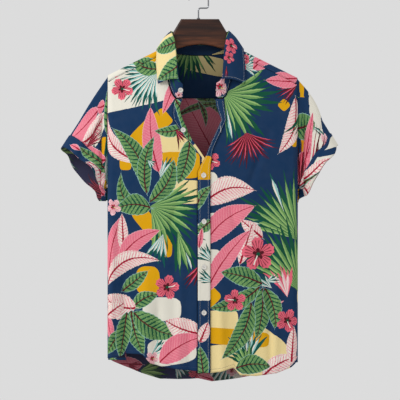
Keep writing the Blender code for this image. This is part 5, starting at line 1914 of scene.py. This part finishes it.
class SHIRT_OT_buttons(bpy.types.Operator):
    """Adds the buttons, their thread and the buttonholes"""

    bl_idname = "shirt.buttons"
    bl_label = "Buttons"

    def execute(self, context):
        sewing = context.scene.shirt_cloth
        disc = material("Button pearl", pearl, context.scene.shirt_hanger)
        thread = material("Pale thread", varied, sewing.pale_thread, 0.8)
        for row in BUTTONS:
            make_button(row, disc, thread)
        holes, slits = bmesh.new(), bmesh.new()
        for row in BUTTONHOLES:
            make_buttonhole(row, holes, slits)
        finished("buttonhole_thread", holes, thread)
        finished("buttonhole_slits", slits, material("Slit", varied, sewing.dark_thread, 0.9))
        return {"FINISHED"}


class SHIRT_OT_stitching(bpy.types.Operator):
    """Adds the topstitching and the hems' stitches"""

    bl_idname = "shirt.stitching"
    bl_label = "Stitching"

    def execute(self, context):
        sewing = context.scene.shirt_cloth
        sew("topstitching", material("Pale thread", varied, sewing.pale_thread, 0.8), PALE_SEAMS, sewing)
        sew("hem_stitching", material("Dark thread", varied, sewing.dark_thread, 0.85), DARK_SEAMS, sewing)
        return {"FINISHED"}


class SHIRT_OT_hanger(bpy.types.Operator):
    """Gives the hanger's board, ring and hook their materials"""

    bl_idname = "shirt.hanger"
    bl_label = "Hanger"

    def execute(self, context):
        look = context.scene.shirt_hanger
        wood = material("Walnut", walnut, look)
        wire = material("Polished wire", varied, look.wire, look.wire_roughness, 0.04, 300.0, 1.0)
        for name, made in (("hanger_board", wood), ("hanger_hook", wire), ("hook_ferrule", wire)):
            node = bpy.data.objects.get(name)
            if node is None:
                raise RuntimeError(f"{name} isn't in the frame")
            for slot in node.material_slots:
                slot.material = made
        return {"FINISHED"}


class SHIRT_PT_panel(bpy.types.Panel):
    """Buttons and settings of the shirt"""

    bl_label = "Printed shirt"
    bl_idname = "SHIRT_PT_panel"
    bl_space_type = "VIEW_3D"
    bl_region_type = "UI"
    bl_category = "Shirt"

    def draw(self, context):
        for operator in OPERATORS:
            self.layout.operator(operator.bl_idname)
        for name in GROUPS:
            group = getattr(context.scene, name)
            box = self.layout.box()
            for key in group.bl_rna.properties.keys():
                if key not in ("rna_type", "name"):
                    box.prop(group, key)


OPERATORS = [
    SHIRT_OT_stage, SHIRT_OT_fronts, SHIRT_OT_back, SHIRT_OT_yoke, SHIRT_OT_collar, SHIRT_OT_strips,
    SHIRT_OT_sleeves, SHIRT_OT_buttons, SHIRT_OT_stitching, SHIRT_OT_hanger,
]
GROUPS = {
    "shirt_cloth": ShirtCloth, "shirt_print": ShirtPrint, "shirt_hanger": ShirtHanger,
    "shirt_stage": ShirtStage,
}


def register():
    for item in [*GROUPS.values(), *OPERATORS, SHIRT_PT_panel]:
        bpy.utils.register_class(item)
    for name, group in GROUPS.items():
        setattr(bpy.types.Scene, name, PointerProperty(type=group))


def unregister():
    for name in GROUPS:
        delattr(bpy.types.Scene, name)
    for item in reversed([*GROUPS.values(), *OPERATORS, SHIRT_PT_panel]):
        bpy.utils.unregister_class(item)


def main():
    register()
    for operator in OPERATORS:
        group, name = operator.bl_idname.split(".")
        getattr(getattr(bpy.ops, group), name)()


if __name__ == "__main__":
    main()
